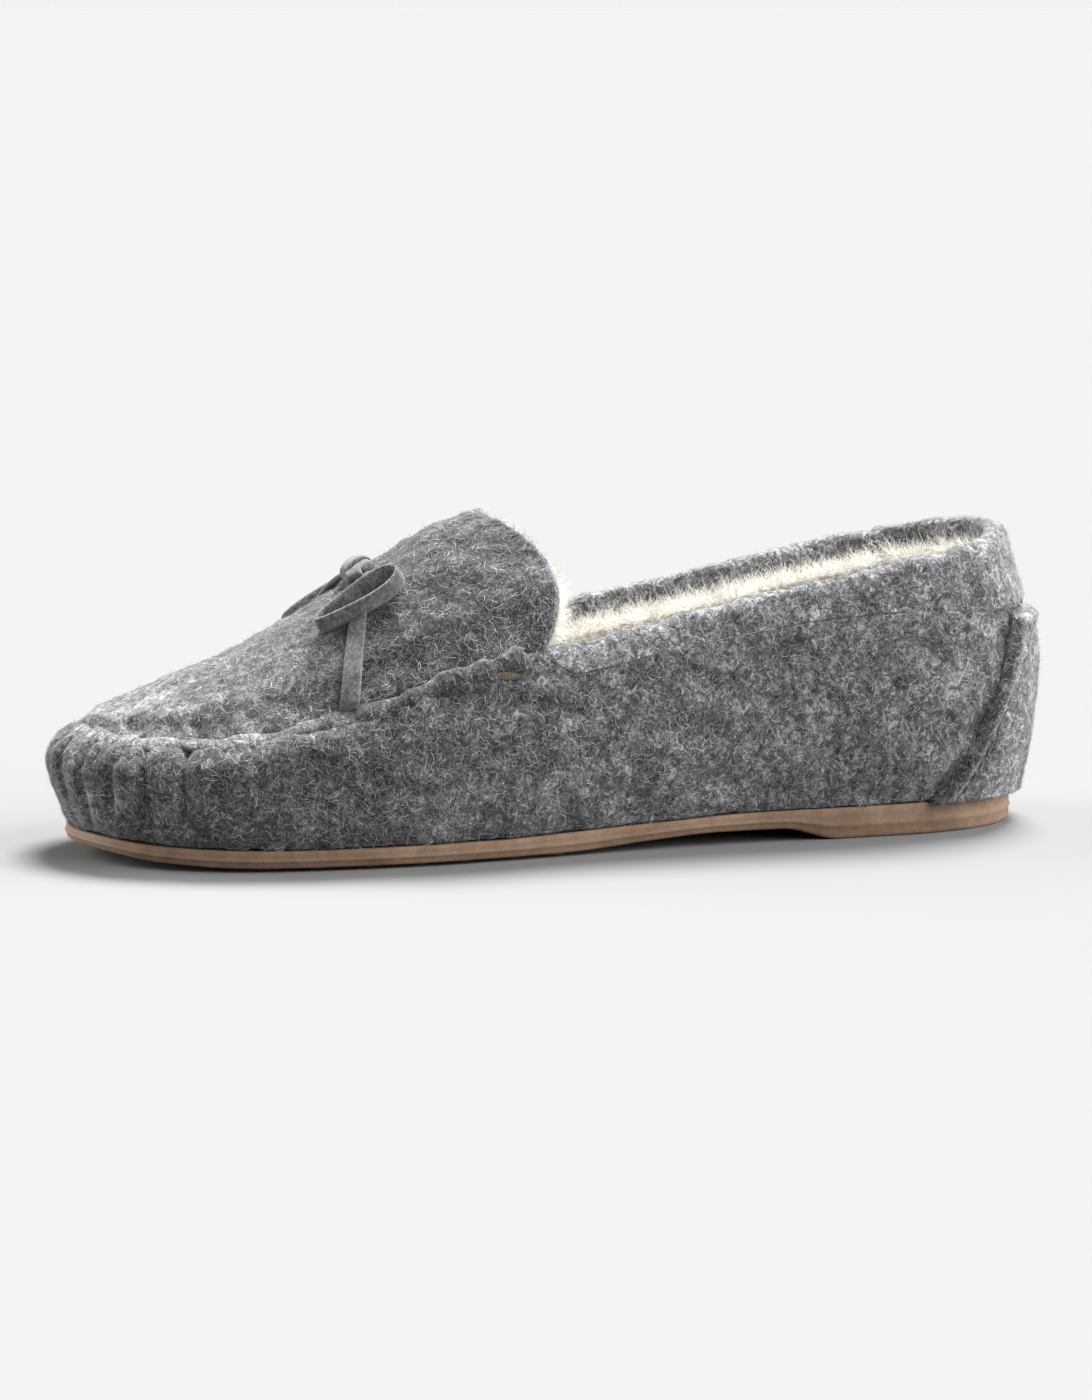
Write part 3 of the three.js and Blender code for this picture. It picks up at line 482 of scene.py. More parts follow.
k = np.mod(TOE_TIP + 0.5 + np.arange(480) / 480 * COLUMNS, COLUMNS)
levels = []
for inward in (1, 0.8, 0.6, 0.4, 0.2, 0.08):
    flat = lid(k, inward, 1.4)
    levels.append(np.c_[flat, sole_top(share_of(flat[:, 1])) - 0.1])
share = rib(k)[2]
top, bottom = sole_top(share), sole_bottom(share)
for part, set_in in EDGE_PROFILE:
    flat = lid(k, 0.0, set_in)
    levels.append(np.c_[flat, mix(top, bottom, part)])
for inward in (0.06, 0.12, 0.2, 0.28, 0.36, 0.44, 0.52, 0.6, 0.68, 0.76, 0.84, 0.92, 1):
    flat = lid(k, inward, 1.9)
    along, across = (share_of(flat[:, 1]) - HOLLOW_AT) / HOLLOW_REACH, flat[:, 0] / HOLLOW_HALF_WIDTH
    hollow = 1 - smooth(0.86, 1.0, np.sqrt(along**2 + across**2))
    levels.append(np.c_[flat, sole_bottom(share_of(flat[:, 1])) + HOLLOW_DEPTH * hollow])
outsole = rings("rubber_sole", levels, rubber)
attach(outsole, "rubber", "outsole")

def group_of(name, sockets):
    """An empty tree of geometry nodes, and the identifiers of its inputs by name."""
    group = bpy.data.node_groups.new(name, "GeometryNodeTree")
    ids = {}
    for word, kind in sockets:
        ids[word] = group.interface.new_socket(word, in_out="INPUT", socket_type=kind).identifier
    group.interface.new_socket("Geometry", in_out="OUTPUT", socket_type="NodeSocketGeometry")
    return group, ids

def settle(name, ground, group, ids, values):
    """Runs a tree over a ground mesh and keeps the result as a plain mesh."""
    modifier = ground.modifiers.new("made", "NODES")
    modifier.node_group = group
    for word, value in values.items():
        modifier[ids[word]] = value
    bpy.context.view_layer.update()
    result = bpy.data.meshes.new_from_object(ground.evaluated_get(bpy.context.evaluated_depsgraph_get()))
    ground.modifiers.remove(modifier)
    made = put(name, result)
    result.name = name
    result.polygons.foreach_set("use_smooth", [True] * len(result.polygons))
    return made

row_group, row_ids = group_of("set_in_rows", [
    ("Geometry", "NodeSocketGeometry"), ("Shape", "NodeSocketObject"), ("Finish", "NodeSocketMaterial"),
])

def end_tree(group, given, copies):
    """Makes a tree's copies real, gives them their finish and sends them out."""
    real = add_node(group, "GeometryNodeRealizeInstances", {"Geometry": copies})
    finish = {"Geometry": real.outputs["Geometry"], "Material": given["Finish"]}
    paint = add_node(group, "GeometryNodeSetMaterial", finish)
    add_node(group, "NodeGroupOutput", {"Geometry": paint.outputs["Geometry"]})

given = add_node(row_group, "NodeGroupInput").outputs
row_turn = add_node(row_group, "GeometryNodeInputNamedAttribute", {"Name": "turn"}, data_type="FLOAT_VECTOR")
row_shape = add_node(row_group, "GeometryNodeObjectInfo", {"Object": given["Shape"]})
row_copies = add_node(row_group, "GeometryNodeInstanceOnPoints", {
    "Points": given["Geometry"], "Instance": row_shape.outputs["Geometry"],
    "Rotation": row_turn.outputs["Attribute"],
})
end_tree(row_group, given, row_copies.outputs["Instances"])

def set_in_rows(name, points, runs, ups, shape, material):
    """Copies of a shape, its X along runs and its Z along ups, at points in millimetres."""
    points, runs = np.asarray(points, float), unit(np.asarray(runs, float))
    ups = unit(np.asarray(ups, float) - runs * np.sum(runs * ups, -1, keepdims=True))
    mesh = bpy.data.meshes.new("places")
    mesh.from_pydata(placed(points).tolist(), [], [])
    ground = put("places", mesh)
    turns = [Matrix(np.stack([r, np.cross(u, r), u], -1).tolist()).to_euler() for r, u in zip(runs, ups)]
    held = mesh.attributes.new("turn", "FLOAT_VECTOR", "POINT")
    held.data.foreach_set("vector", np.array([list(t) for t in turns]).ravel())
    made = settle(name, ground, row_group, row_ids, {"Shape": shape, "Finish": material})
    bpy.data.objects.remove(ground)
    return made

def small_shape(name, points, faces):
    """A shape in millimetres to be copied, not itself in the scene."""
    mesh = bpy.data.meshes.new(name)
    mesh.from_pydata((np.asarray(points, float) * MM).tolist(), [], [list(f) for f in faces])
    return bpy.data.objects.new(name, mesh)

def turned_shape(name, radii, heights, sides):
    """A small lathe-turned shape standing on Z."""
    ring = np.arange(sides) / sides * 2 * np.pi
    points = [(r * math.cos(a), r * math.sin(a), z) for r, z in zip(radii, heights) for a in ring]
    points += [(0, 0, heights[0]), (0, 0, heights[-1])]
    faces = capped(len(radii), sides)
    return small_shape(name, points, faces)

STUD_PITCH = 12
stud = turned_shape("stud", [2.3, 2.7, 3.1, 3.2], [0, 0.12, 0.5, 2.3], 12)
stud_spots = []
for first, last, margin in ((0.53, 0.87, 6), (0.07, 0.17, 14.4)):
    for row in range(int((last - first) * SOLE_LENGTH / STUD_PITCH) + 1):
        y = HEEL_END - first * SOLE_LENGTH - row * STUD_PITCH
        outer_x = edge_at(place_on(1, share_of(y)))[0] - margin
        inner_x = edge_at(place_on(-1, share_of(y)))[0] + margin
        gaps = max(1, int((outer_x - inner_x) / STUD_PITCH) - row % 2)
        stud_spots += [(mix(inner_x, outer_x, i / gaps), y, 0) for i in range(gaps + 1)]
count = len(stud_spots)
studs = set_in_rows("sole_studs", stud_spots, [(1, 0, 0)] * count, [(0, 0, 1)] * count, stud, rubber)
attach(studs, "rubber")


# ---- The felt wall ----
# One strip of grey heathered wool felt, 3 mm thick, lasted round the foot and turned under the board. At
# the toe it is gathered into the plug's seam, which leaves soft upright folds.
FELT = 3
FELT_NOISES = [(9, 0.22, 0.3), (2.4, 0.36, 1.5), (0.8, 0.26, 2.0), (0.28, 0.16, 0)]
FELT_RAMP = [
    (0.415, (0.014, 0.0135, 0.0155)), (0.475, (0.06, 0.059, 0.064)),
    (0.53, (0.145, 0.144, 0.151)), (0.585, (0.42, 0.42, 0.43)),
]

def wool_felt(name, lightness, painted_shading=None):
    """Heathered felt, so many times as light as the wall's, with painted light and shade along Y where given.
    """
    ramp = [(place, [lightness * c for c in colour]) for place, colour in FELT_RAMP]
    return tinted(name, {"noises": FELT_NOISES, "ramp": ramp, "painted_shading": painted_shading}, 1.0, 0.3, (1.0, 0.8))

# Painted shade darkens the wall's felt towards the toe, and painted light lifts it a little towards the heel.
felt = wool_felt("wool_felt", 1, (-0.09, -0.024, 0.06, 0.008))

def lumps(points, size, seed):
    """Soft random relief from -1 to 1, with swellings about size millimetres across."""
    flat = np.asarray(points, float).reshape(-1, 3) / size + seed * 17.3
    return np.array([noise.noise(Vector(p)) for p in flat]).reshape(np.asarray(points).shape[:-1])

def between(name, outer, inner, material, ring=False):
    """A closed body between two grids of points; a ring closes on itself along the first index."""
    n, m = outer.shape[:2]
    i, j = np.meshgrid(np.arange(n if ring else n - 1), np.arange(m - 1), indexing="ij")
    at = lambda layer, a, b: (layer * n * m + (a % n) * m + b).ravel()
    face = [np.stack([at(0, i, j), at(0, i + 1, j), at(0, i + 1, j + 1), at(0, i, j + 1)], -1),
            np.stack([at(1, i, j), at(1, i, j + 1), at(1, i + 1, j + 1), at(1, i + 1, j)], -1)]
    a = np.arange(n if ring else n - 1)
    low, high = np.zeros_like(a), np.full_like(a, m - 1)
    face.append(np.stack([at(0, a, low), at(1, a, low), at(1, a + 1, low), at(0, a + 1, low)], -1))
    face.append(np.stack([at(0, a, high), at(0, a + 1, high), at(1, a + 1, high), at(1, a, high)], -1))
    if not ring:
        b = np.arange(m - 1)
        low, high = np.zeros_like(b), np.full_like(b, n - 1)
        face.append(np.stack([at(0, low, b), at(0, low, b + 1), at(1, low, b + 1), at(1, low, b)], -1))
        face.append(np.stack([at(0, high, b), at(1, high, b), at(1, high, b + 1), at(0, high, b + 1)], -1))
    points = np.concatenate([outer.reshape(-1, 3), inner.reshape(-1, 3)])
    return body_of(name, points, np.concatenate(face), material)

def wall_height(share):
    return rim_top(share) - sole_top(share) - GAP

def wall_share(k):
    """The share of its height that the wall reaches at column k; it stops lower under the collar."""
    column = np.mod(k, COLUMNS)
    share = rib(column)[2]
    corner = np.minimum(np.minimum(column, REAR - column), 2) / 2
    return np.where(column >= REAR, 1.0, 1 - collar_drop(share) * np.clip(corner, 0, 1) / wall_height(share))

def from_tip(k):
    """How far round the sole's edge a column is from the toe's tip, in millimetres; outer side positive."""
    tip = TOE_TIP + 0.5
    away = np.mod(k - tip + COLUMNS / 2, COLUMNS) - COLUMNS / 2
    return away * (1 - INNER_CORNER + OUTER_CORNER) * SOLE_ROUND / (COLUMNS - REAR)

PATCH_FOOT, PATCH_HEAD, PATCH_SLANT, PATCH_TOP, PATCH_HEIGHT = 0.125, 0.036, 0.65, 54.2, 46

def patch_front(v):
    """The heel patch's front edge, as a share of the sole's length, at a share v of its height."""
    return mix(PATCH_FOOT, PATCH_HEAD, v**PATCH_SLANT)

FOLDS = [-66, -56, -47, -37, -28.5, -20, -11, -3, 5.5, 14, 23.5, 32, 41, 49.5, 58.5, 67]

def uneven(points, *waves):
    """A sum of lumps, each given as (how high, how broad, seed)."""
    return sum(amount * lumps(points, size, seed) for amount, size, seed in waves)

WOOL_WAVES = (0.6, 11, 1), (0.6, 4.2, 2), (0.34, 2.2, 3)
def wall_relief(k, f, points):
    """How far the felt stands out from the plain form of the wall, in millimetres."""
    share, away = rib(k)[2], from_tip(k)
    relief = uneven(points, *WOOL_WAVES)
    # The gathered folds of the toe, with the felt swelling between them.
    toe = smooth(0.78, 0.86, share)
    reach = smooth(0.0, 0.4, f) * (1 - 0.35 * smooth(0.85, 1, f))
    for n, fold in enumerate(FOLDS):
        lean = away - fold - (f - 0.5) * 3.2 * math.sin(n * 2.1)
        depth = (1.7 + 0.5 * math.sin(n * 1.7)) * (1 - 0.5 * smooth(26, 60, abs(fold)))
        relief -= toe * reach * depth * np.exp(-((lean / (1.15 + 0.3 * math.cos(n))) ** 2))
    relief += toe * 0.55 * reach
    # The tuck at the sole, the stiffener's edge showing through and the hollow beside the patch.
    relief -= 0.7 * (1 - smooth(0, 0.1, f))
    y, z = points[..., 1], points[..., 2]
    counter = smooth(64.6, 67.2, y) * smooth(10, 15, z) * (1 - smooth(42, 50, z))
    relief += 0.45 * counter
    up = np.clip((z - 8) / PATCH_HEIGHT, 0, 1)
    ahead = (share - patch_front(up) - 0.008) * SOLE_LENGTH
    relief -= 0.9 * np.exp(-((ahead / 1.6) ** 2)) * smooth(8, 14, z)
    # The long arched crease in the outer side, and the swelling above it.
    arc = (y + 22) / 27
    crease = z - (44 - 7.5 * arc**2) + 4.5
    fade = np.exp(-(arc**4) * 1.3)
    relief -= 0.9 * np.exp(-((crease / 1.5) ** 2)) * fade * (points[..., 0] > 0)
    relief += 0.8 * np.exp(-(((crease - 4.5) / 3) ** 2)) * fade * (points[..., 0] > 0)
    return relief

def sole_ring(k, inward, above):
    """A ring of points over the sole's edge, set in and raised by so many millimetres."""
    return np.concatenate([lid(k, 0.0, inward), (sole_top(rib(k)[2]) + GAP + above)[:, None]], -1)

k = (np.arange(640) / 640 * COLUMNS)[:, None]
f = wall_share(k) * np.linspace(0, 1, 46)[None, :]
relief = wall_relief(k + 0 * f, f, shell(k, f))
outer = in_wall(k, f, -relief)
inner = in_wall(k, f, FELT)
inner[:, 0] = sole_ring(k[:, 0], FELT, FELT)
inner[:, 1:5] = mix(inner[:, :1], inner[:, 5:6], np.linspace(0.2, 0.8, 4)[None, :, None])
turned_under = [11, 5]
outer = np.concatenate([*(sole_ring(k[:, 0], m, 0)[:, None] for m in turned_under), outer], 1)
inner = np.concatenate([*(sole_ring(k[:, 0], m, FELT)[:, None] for m in turned_under), inner], 1)
wall = between("felt_wall", outer, inner, felt, ring=True)
attach(wall, "felt", "moccasin_wall")

# Loose wool hairs lie over every felt face. Each is a flat three-cornered hair, scattered by one tree.
hair_group, hair_ids = group_of("scattered_hairs", [
    ("Geometry", "NodeSocketGeometry"), ("Shape", "NodeSocketObject"), ("Finish", "NodeSocketMaterial"),
    ("Per square metre", "NodeSocketFloat"), ("Seed", "NodeSocketInt"), ("Tilt", "NodeSocketFloat"),
    ("Smallest", "NodeSocketFloat"), ("Largest", "NodeSocketFloat"),
])

given = add_node(hair_group, "NodeGroupInput").outputs
cover = add_node(hair_group, "GeometryNodeInputNamedAttribute", {"Name": "cover"}, data_type="FLOAT")
density = add_node(hair_group, "ShaderNodeMath", {
    0: given["Per square metre"], 1: cover.outputs["Attribute"],
}, operation="MULTIPLY")
roots = add_node(hair_group, "GeometryNodeDistributePointsOnFaces", {
    "Mesh": given["Geometry"], "Density": density.outputs[0], "Seed": given["Seed"],
}).outputs
hair_shape = add_node(hair_group, "GeometryNodeObjectInfo", {"Object": given["Shape"]})
hair_size = add_node(hair_group, "FunctionNodeRandomValue", {
    2: given["Smallest"], 3: given["Largest"], "Seed": given["Seed"],
}, data_type="FLOAT")
stood = add_node(hair_group, "GeometryNodeInstanceOnPoints", {
    "Points": roots["Points"], "Rotation": roots["Rotation"],
    "Instance": hair_shape.outputs["Geometry"], "Scale": hair_size.outputs[1],
})
spin = add_node(hair_group, "FunctionNodeRandomValue", {
    0: (0, 0, -math.pi), 1: (0, 0, math.pi),
}, data_type="FLOAT_VECTOR")
spun = add_node(hair_group, "GeometryNodeRotateInstances", {
    "Instances": stood.outputs["Instances"], "Rotation": spin.outputs[0],
})
swing = add_node(hair_group, "FunctionNodeRandomValue", {
    0: (-1, -1, 0), 1: (1, 1, 0), "Seed": 7,
}, data_type="FLOAT_VECTOR")
swung = add_node(hair_group, "ShaderNodeVectorMath", {
    0: swing.outputs[0], "Scale": given["Tilt"],
}, operation="SCALE")
leant = add_node(hair_group, "GeometryNodeRotateInstances", {
    "Instances": spun.outputs["Instances"], "Rotation": swung.outputs[0],
})
end_tree(hair_group, given, leant.outputs["Instances"])

def strew(name, grid, cover, shape, material, per_mm, seed, tilt, smallest, largest, slot):
    """Copies of a small shape over a grid of points; cover gives where they stand, from 0 to 1."""
    n, m = grid.shape[:2]
    faces = [(a, d, c, b) for a, b, c, d in net(n, m)]
    ground = body_of("ground", grid.reshape(-1, 3), faces, material)
    held = ground.data.attributes.new("cover", "FLOAT", "POINT")
    held.data.foreach_set("value", np.broadcast_to(cover, (n, m)).astype(float).ravel())
    made = settle(name, ground, hair_group, hair_ids, {
        "Shape": shape, "Finish": material, "Per square metre": per_mm * 1e6, "Seed": seed,
        "Tilt": tilt, "Smallest": smallest, "Largest": largest,
    })
    bpy.data.objects.remove(ground)
    return attach(made, slot)

def bent_hair(name, line, width):
    """A hair as a flat ribbon along a line of points, tapering to its end."""
    line = np.asarray(line, float)
    points, n = [], len(line)
    for i, p in enumerate(line):
        w = width * (1 - 0.75 * i / (n - 1)) / 2
        points += [p + (0, w, 0), p - (0, w, 0)]
    return small_shape(name, points, [(2 * i, 2 * i + 1, 2 * i + 3, 2 * i + 2) for i in range(n - 1)])

lying_hair = bent_hair("lying_hair", [(-1.1, 0, -0.02), (-0.2, 0.25, 0.2), (1.1, -0.1, 0.16)], 0.08)
rising_hair = bent_hair("rising_hair", [(0, 0, -0.1), (0.25, 0.1, 0.4), (1.0, 0, 0.75)], 0.06)
wool_greys = [
    ("dark", (0.014, 0.014, 0.016), 0.85), ("grey", (0.1, 0.1, 0.104), 0.6),
    ("pale", (0.32, 0.32, 0.325), 0.42), ("white", (0.62, 0.62, 0.62), 0.18),
]
wool = {word: plain("wool_hair_" + word, colour, 1.0, 0.2) for word, colour, _ in wool_greys}

# How far a hair tilts, and its smallest and largest size.
LYING, RISING, BLOOM = (0.22, 0.6, 1.4), (0.5, 0.6, 1.3), (0.6, 0.5, 1.0)

def nap(name, grid, cover, amount, seed):
    """The wool hairs over one felt face, in four greys."""
    made = []
    for n, (word, _, share) in enumerate(wool_greys):
        piece, many = f"{name}_nap_{word}", amount * share
        made.append(strew(piece, grid, cover, lying_hair, wool[word], many, seed + n, *LYING, "felt"))
    piece, many = f"{name}_fuzz", amount * 0.22
    made.append(strew(piece, grid, cover, rising_hair, wool["grey"], many, seed + 9, *RISING, "felt"))
    return made

# A short bloom of suede hairs on the thong.
suede_hair = bent_hair("suede_hair", [(0, 0, -0.05), (0.2, 0.05, 0.16), (0.45, 0, 0.2)], 0.06)
lace_parts = ("suede_loop_lateral", "suede_loop_medial", "suede_tail_lateral", "suede_tail_medial")
for n, word in enumerate(lace_parts):
    for kind, tone, amount, seed in (("_bloom", "grey", 5, 201), ("_dark_bloom", "dark", 3, 211)):
        face = skins[word][::-1]
        strew(word + kind, face, 1, suede_hair, wool[tone], amount, seed + n, *BLOOM, "suede")

wall_grid = np.concatenate([outer[:, 2:], outer[:1, 2:]], 0)
wall_nap = nap("wall", wall_grid, 1, 1.5, 11)


# ---- The plug and its tongue ----
# The grey felt over the instep, sewn into the wall at the toe and sides. Behind the throat it runs
# on as a short tongue with a shallow notch in its back edge.
# Painted light lifts the plug's felt at the toe, and painted shade darkens it from about the bow back over
# the tongue.
plug_felt = wool_felt("plug_felt", 1, (-0.105, 0.022, -0.045, -0.055))
i = np.linspace(0, STATIONS, 130)[None, :]
t = np.linspace(-0.985, 0.985, 110)[:, None]
spots = plug(i, t)
half = np.linalg.norm(shell(TOE_TIP - i, 1.0) - shell(TOE_TIP + 1 + i, 1.0), axis=-1) / 2
from_seam = (1 - np.abs(t)) * half
relief = uneven(spots, (0.55, 14, 4), (0.55, 5, 5), (0.3, 2.2, 6))
# It dips beside the seam and swells inside the dip, puckers towards the toe and gives under the knot.
relief -= 0.5 * np.exp(-((from_seam - 4.8) / 2.8) ** 2) * smooth(0, 2, i)
relief += 0.5 * np.exp(-((from_seam - 9) / 3.0) ** 2) * smooth(0, 2, i)
pucker = 0.4 * np.sin(i * 5.1 + 1.3 * np.sin(i))
relief += pucker * np.exp(-((from_seam - 3) / 5.0) ** 2) * (1 - smooth(8, 13, i))
relief -= 0.6 * np.exp(-((i - KNOT_STATION) / 1.6) ** 2) * np.exp(-((t / 0.35) ** 2))
outer = in_plug(i, t, -relief)
inner = in_plug(i, t, FELT)
out_end, in_end = outer[:, -1:], inner[:, -1:]
upper = np.concatenate([outer[:, :-1], (0.5 * out_end + 0.5 * in_end) + [0, 0.8, 0]], 1)
under = np.concatenate([inner[:, :-1], (0.45 * out_end + 0.55 * in_end) + [0, 0.6, 0]], 1)
plug_piece = between("felt_plug", upper, under, plug_felt)
tidy(plug_piece)
attach(plug_piece, "felt", "apron_plug")
plug_nap = nap("plug", outer, 1, 1.7, 31)

# The seam between wall and plug is a rolled edge, drawn in by each stitch, that swells where it ends.
k = np.linspace(REAR + 0.35, COLUMNS - 0.35, 520)
side = np.where(k > TOE_TIP + 0.5, 1.0, -1.0)
station = np.clip(np.where(side > 0, k - TOE_TIP - 1, TOE_TIP - k), 0, STATIONS)
share = rib(k)[2]
throat = (1 - smooth(0.615, 0.66, share)) * smooth(0.553, 0.58, share)
spine = in_wall(k, 1 - 0.028 * throat, -0.2)
across = unit(np.cross(unit(np.gradient(spine, axis=0)), unit(seam_mitre(station, side))))
pinch = 1 + (0.55 + 0.1 * throat) * lumps(spine, 6.0, 7) + 0.25 * lumps(spine, 2.8, 23)
wander = 0.7 * lumps(spine, 8, 21) + 0.9 * throat * lumps(spine, 5, 22)
spine = spine + across * wander[:, None]
roll_width, roll_height = (2.5 + 1.2 * throat) * pinch, (1.15 + 0.6 * throat) * pinch
seam_roll = strap("apron_seam_roll", spine, across, roll_width, roll_height, plug_felt, square=2.2, sides=14)
attach(seam_roll, "felt")
ring = np.linspace(0.05, np.pi - 0.05, 9)
hold = unit(seam_mitre(station, side))
arch = spine[:, None] - across[:, None] * roll_width[:, None, None] * np.cos(ring)[None, :, None]
arch = arch + hold[:, None] * roll_height[:, None, None] * np.sin(ring)[None, :, None]
nap("seam_roll", arch, 1, 1.6, 51)


# ---- The collar ----
# A felt band that carries the wall on above its seam, folds over the rim and faces it 8 mm down inside.
# It is the lightest of the felts but for the heel patch.
# Painted light lifts the collar's felt towards the throat, fading out towards the heel.
collar_felt = wool_felt("collar_felt", 1.35, (-0.02, 0.028, 0.11, 0))
k = np.linspace(-0.55, REAR + 0.55, 384)
point, out, share = rib(k)
height = wall_height(share)
seam = (1 - wall_share(k)) * height - GAP
FOLD_WIDTH, FOLD_RISE, FACING_DEPTH = 5.3, 2.6, 8.0
turn = np.linspace(0, np.pi, 13)
heel_step = 1 - smooth(0.0, 0.1, share)
columns = []
for part in (1.03, 0.97, 0.85, 0.7, 0.55, 0.4, 0.25, 0.1):
    tuck = 0.2 * smooth(0.94, 1.03, part) * (1 - heel_step) - 0.9 * heel_step * smooth(0.35, 0.9, part)
    columns.append((tuck, mix(FOLD_RISE, np.maximum(seam, FOLD_RISE + 0.1), part)))
columns += [(FOLD_WIDTH / 2 * (1 - math.cos(a)), FOLD_RISE * (1 - math.sin(a))) for a in turn]
columns += [(FOLD_WIDTH, below) for below in (4.0, 5.2, 6.4, 7.4, FACING_DEPTH)]
columns += [(FOLD_WIDTH - 1, FACING_DEPTH + 0.3), (3.5, FACING_DEPTH - 0.2), (3.3, 6)]
columns += [(3.3, np.maximum(seam - 0.5, 3.4)), (1.6, seam + 0.1)]
grid = []
for depth, below in columns:
    spot = shell(k, 1 - below / height)
    spot[:, :2] -= out * np.broadcast_to(depth, len(k))[:, None]
    grid.append(spot)
grid = np.stack(grid, 1)
soft = uneven(grid, *WOOL_WAVES)
outwards = np.concatenate([out, np.zeros((len(k), 1))], -1)
push = np.concatenate([np.ones(8), np.cos(turn), -np.ones(5), np.zeros(5)])
lift = np.concatenate([np.zeros(8), np.sin(turn), np.zeros(10)])
grid = grid + outwards[:, None] * (soft * push)[..., None] + np.array([0, 0, 1]) * (soft * lift)[..., None]
n, m = grid.shape[:2]
faces = [(a, d, c, b) for a, b, c, d in net(n, m, False, True)]
faces += [tuple(range(m)), tuple((n - 1) * m + b for b in reversed(range(m)))]
collar = body_of("felt_collar", grid.reshape(-1, 3), faces, collar_felt)
tidy(collar)
attach(collar, "felt", "collar_band")
collar_nap = nap("collar", grid[:, :26], 1, 1.6, 71)


# ---- The heel patch and the stiffener behind it ----
# A second piece of felt laid over the back of the heel, slanting back as it rises, with its edge turned.
# The stiffener stands inside the wall behind it. That sheet and the board keep their own plain shapes.
patch_felt = wool_felt("patch_felt", 1.38)

def share_up(k, z):
    """The share of the wall's height at which a height z lies."""
    share = rib(k)[2]
    return (z - sole_top(share) - GAP) / wall_height(share)

u, v = np.linspace(0, 1, 96)[:, None], np.linspace(0, 1, 60)[None, :]

def patch_spot(u, v):
    """A column and share of height on the patch, from its outer front edge (u 0), from its foot (v 0)."""
    front = column_at(patch_front(v))
    k = mix(front, REAR - front, u)
    return k, share_up(k, mix(sole_top(0.0) + 0.5, PATCH_TOP, v) + 0 * u)

k, f = patch_spot(u, v)
spots = shell(k, f)
breadth = np.linalg.norm(np.diff(spots, axis=0), axis=-1).sum(0)[None, :]
from_edge = np.minimum(np.minimum(u, 1 - u) * breadth, (1 - v) * PATCH_HEIGHT)
PATCH_THICKNESS, EDGE_ROUNDING = 2.75, 1.7
thick = PATCH_THICKNESS * np.sqrt(np.clip(1 - (1 - np.clip(from_edge / EDGE_ROUNDING, 0, 1)) ** 2, 0, 1))
thick = thick + 0.45 * np.exp(-(((from_edge - 1.9) / 1.1) ** 2))
thick -= 0.35 * np.exp(-(((from_edge - 4.4) / 0.9) ** 2))
relief = uneven(spots, (0.45, 10, 10), (0.3, 4, 11))
outer = in_wall(k, f, -(0.25 + thick + relief * np.clip(from_edge / 2, 0, 1)))
inner = in_wall(k, f, 0.35)
patch = between("felt_heel_patch", outer, inner, patch_felt)
attach(patch, "felt", "heel_patch")
patch_nap = nap("patch", outer, 1, 1.7, 91)

def repaint(node, material):
    """Gives a material to a node that keeps its CAD shape."""
    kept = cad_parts[node]
    kept.data.materials.clear()
    kept.data.materials.append(material)

fibreboard = tinted("pressed_fibreboard", {
    "noises": [(5, 0.5, 0), (0.6, 0.5, 1.0)],
    "ramp": [(0.38, (0.2, 0.17, 0.12)), (0.62, (0.5, 0.43, 0.32))],
}, 0.9, 0.0, (0.4, 0.1))
stiffener = tinted("stiffener_sheet", {
    "noises": [(3, 0.5, 0), (0.5, 0.5, 0)],
    "ramp": [(0.38, (0.2, 0.19, 0.17)), (0.62, (0.42, 0.4, 0.36))],
}, 0.85, 0.0, (0.3, 0.1))
repaint("heel_counter", stiffener)
repaint("insole_board", fibreboard)


# ---- The footbed ----
# A filler between the turned-under felt, the board, a sheet of foam and over it a fur sock that fills the
# inside from wall to wall.
foam = tinted("cream_foam", {
    "noises": [(4, 0.4, 0), (0.4, 0.6, 0)],
    "ramp": [(0.38, (0.55, 0.49, 0.36)), (0.62, (0.8, 0.75, 0.62))],
}, 0.95, 0.0, (0.5, 0.2))
fur_ground = tinted("fur_backing", {
    "noises": [(7, 0.4, 0.5), (1.2, 0.6, 1.0)],
    "ramp": [(0.36, (0.6, 0.56, 0.48)), (0.5, (0.8, 0.77, 0.7)), (0.64, (0.92, 0.9, 0.85))],
}, 1.0, 0.3, (1.0, 0.8))
BOARD, FOAM, LINING = 2, 4, 5

def slab(name, inset, bottom_at, top_at, crown, material, seed):
    """A soft sheet as long as the inside, with rounded edges and a slightly swollen face."""
    k = np.mod(TOE_TIP + 0.5 + np.arange(300) / 300 * COLUMNS, COLUMNS)
    levels = []
    for inward in (1, 0.85, 0.7, 0.5, 0.3, 0.15, 0.05, 0):
        flat = lid(k, inward, inset + 0.8)
        levels.append(np.c_[flat, bottom_at(share_of(flat[:, 1]))])
    edge = lid(k, 0.0, inset)
    for part in (0.25, 0.5, 0.75):
        levels.append(np.c_[edge, mix(bottom_at(share_of(edge[:, 1])), top_at(share_of(edge[:, 1])), part)])
    for inward in (0, 0.04, 0.1, 0.18, 0.28, 0.4, 0.52, 0.64, 0.76, 0.88, 1):
        flat = lid(k, inward, inset + 0.8)
        z = top_at(share_of(flat[:, 1])) + crown * (1 - (1 - min(1, inward * 2.5)) ** 2)
        spots = np.c_[flat, z]
        spots[:, 2] += 0.35 * crown * lumps(spots * [1, 1, 0.2], 12, seed)
        levels.append(spots)
    return rings(name, levels, material), np.stack(levels[-11:], 1)

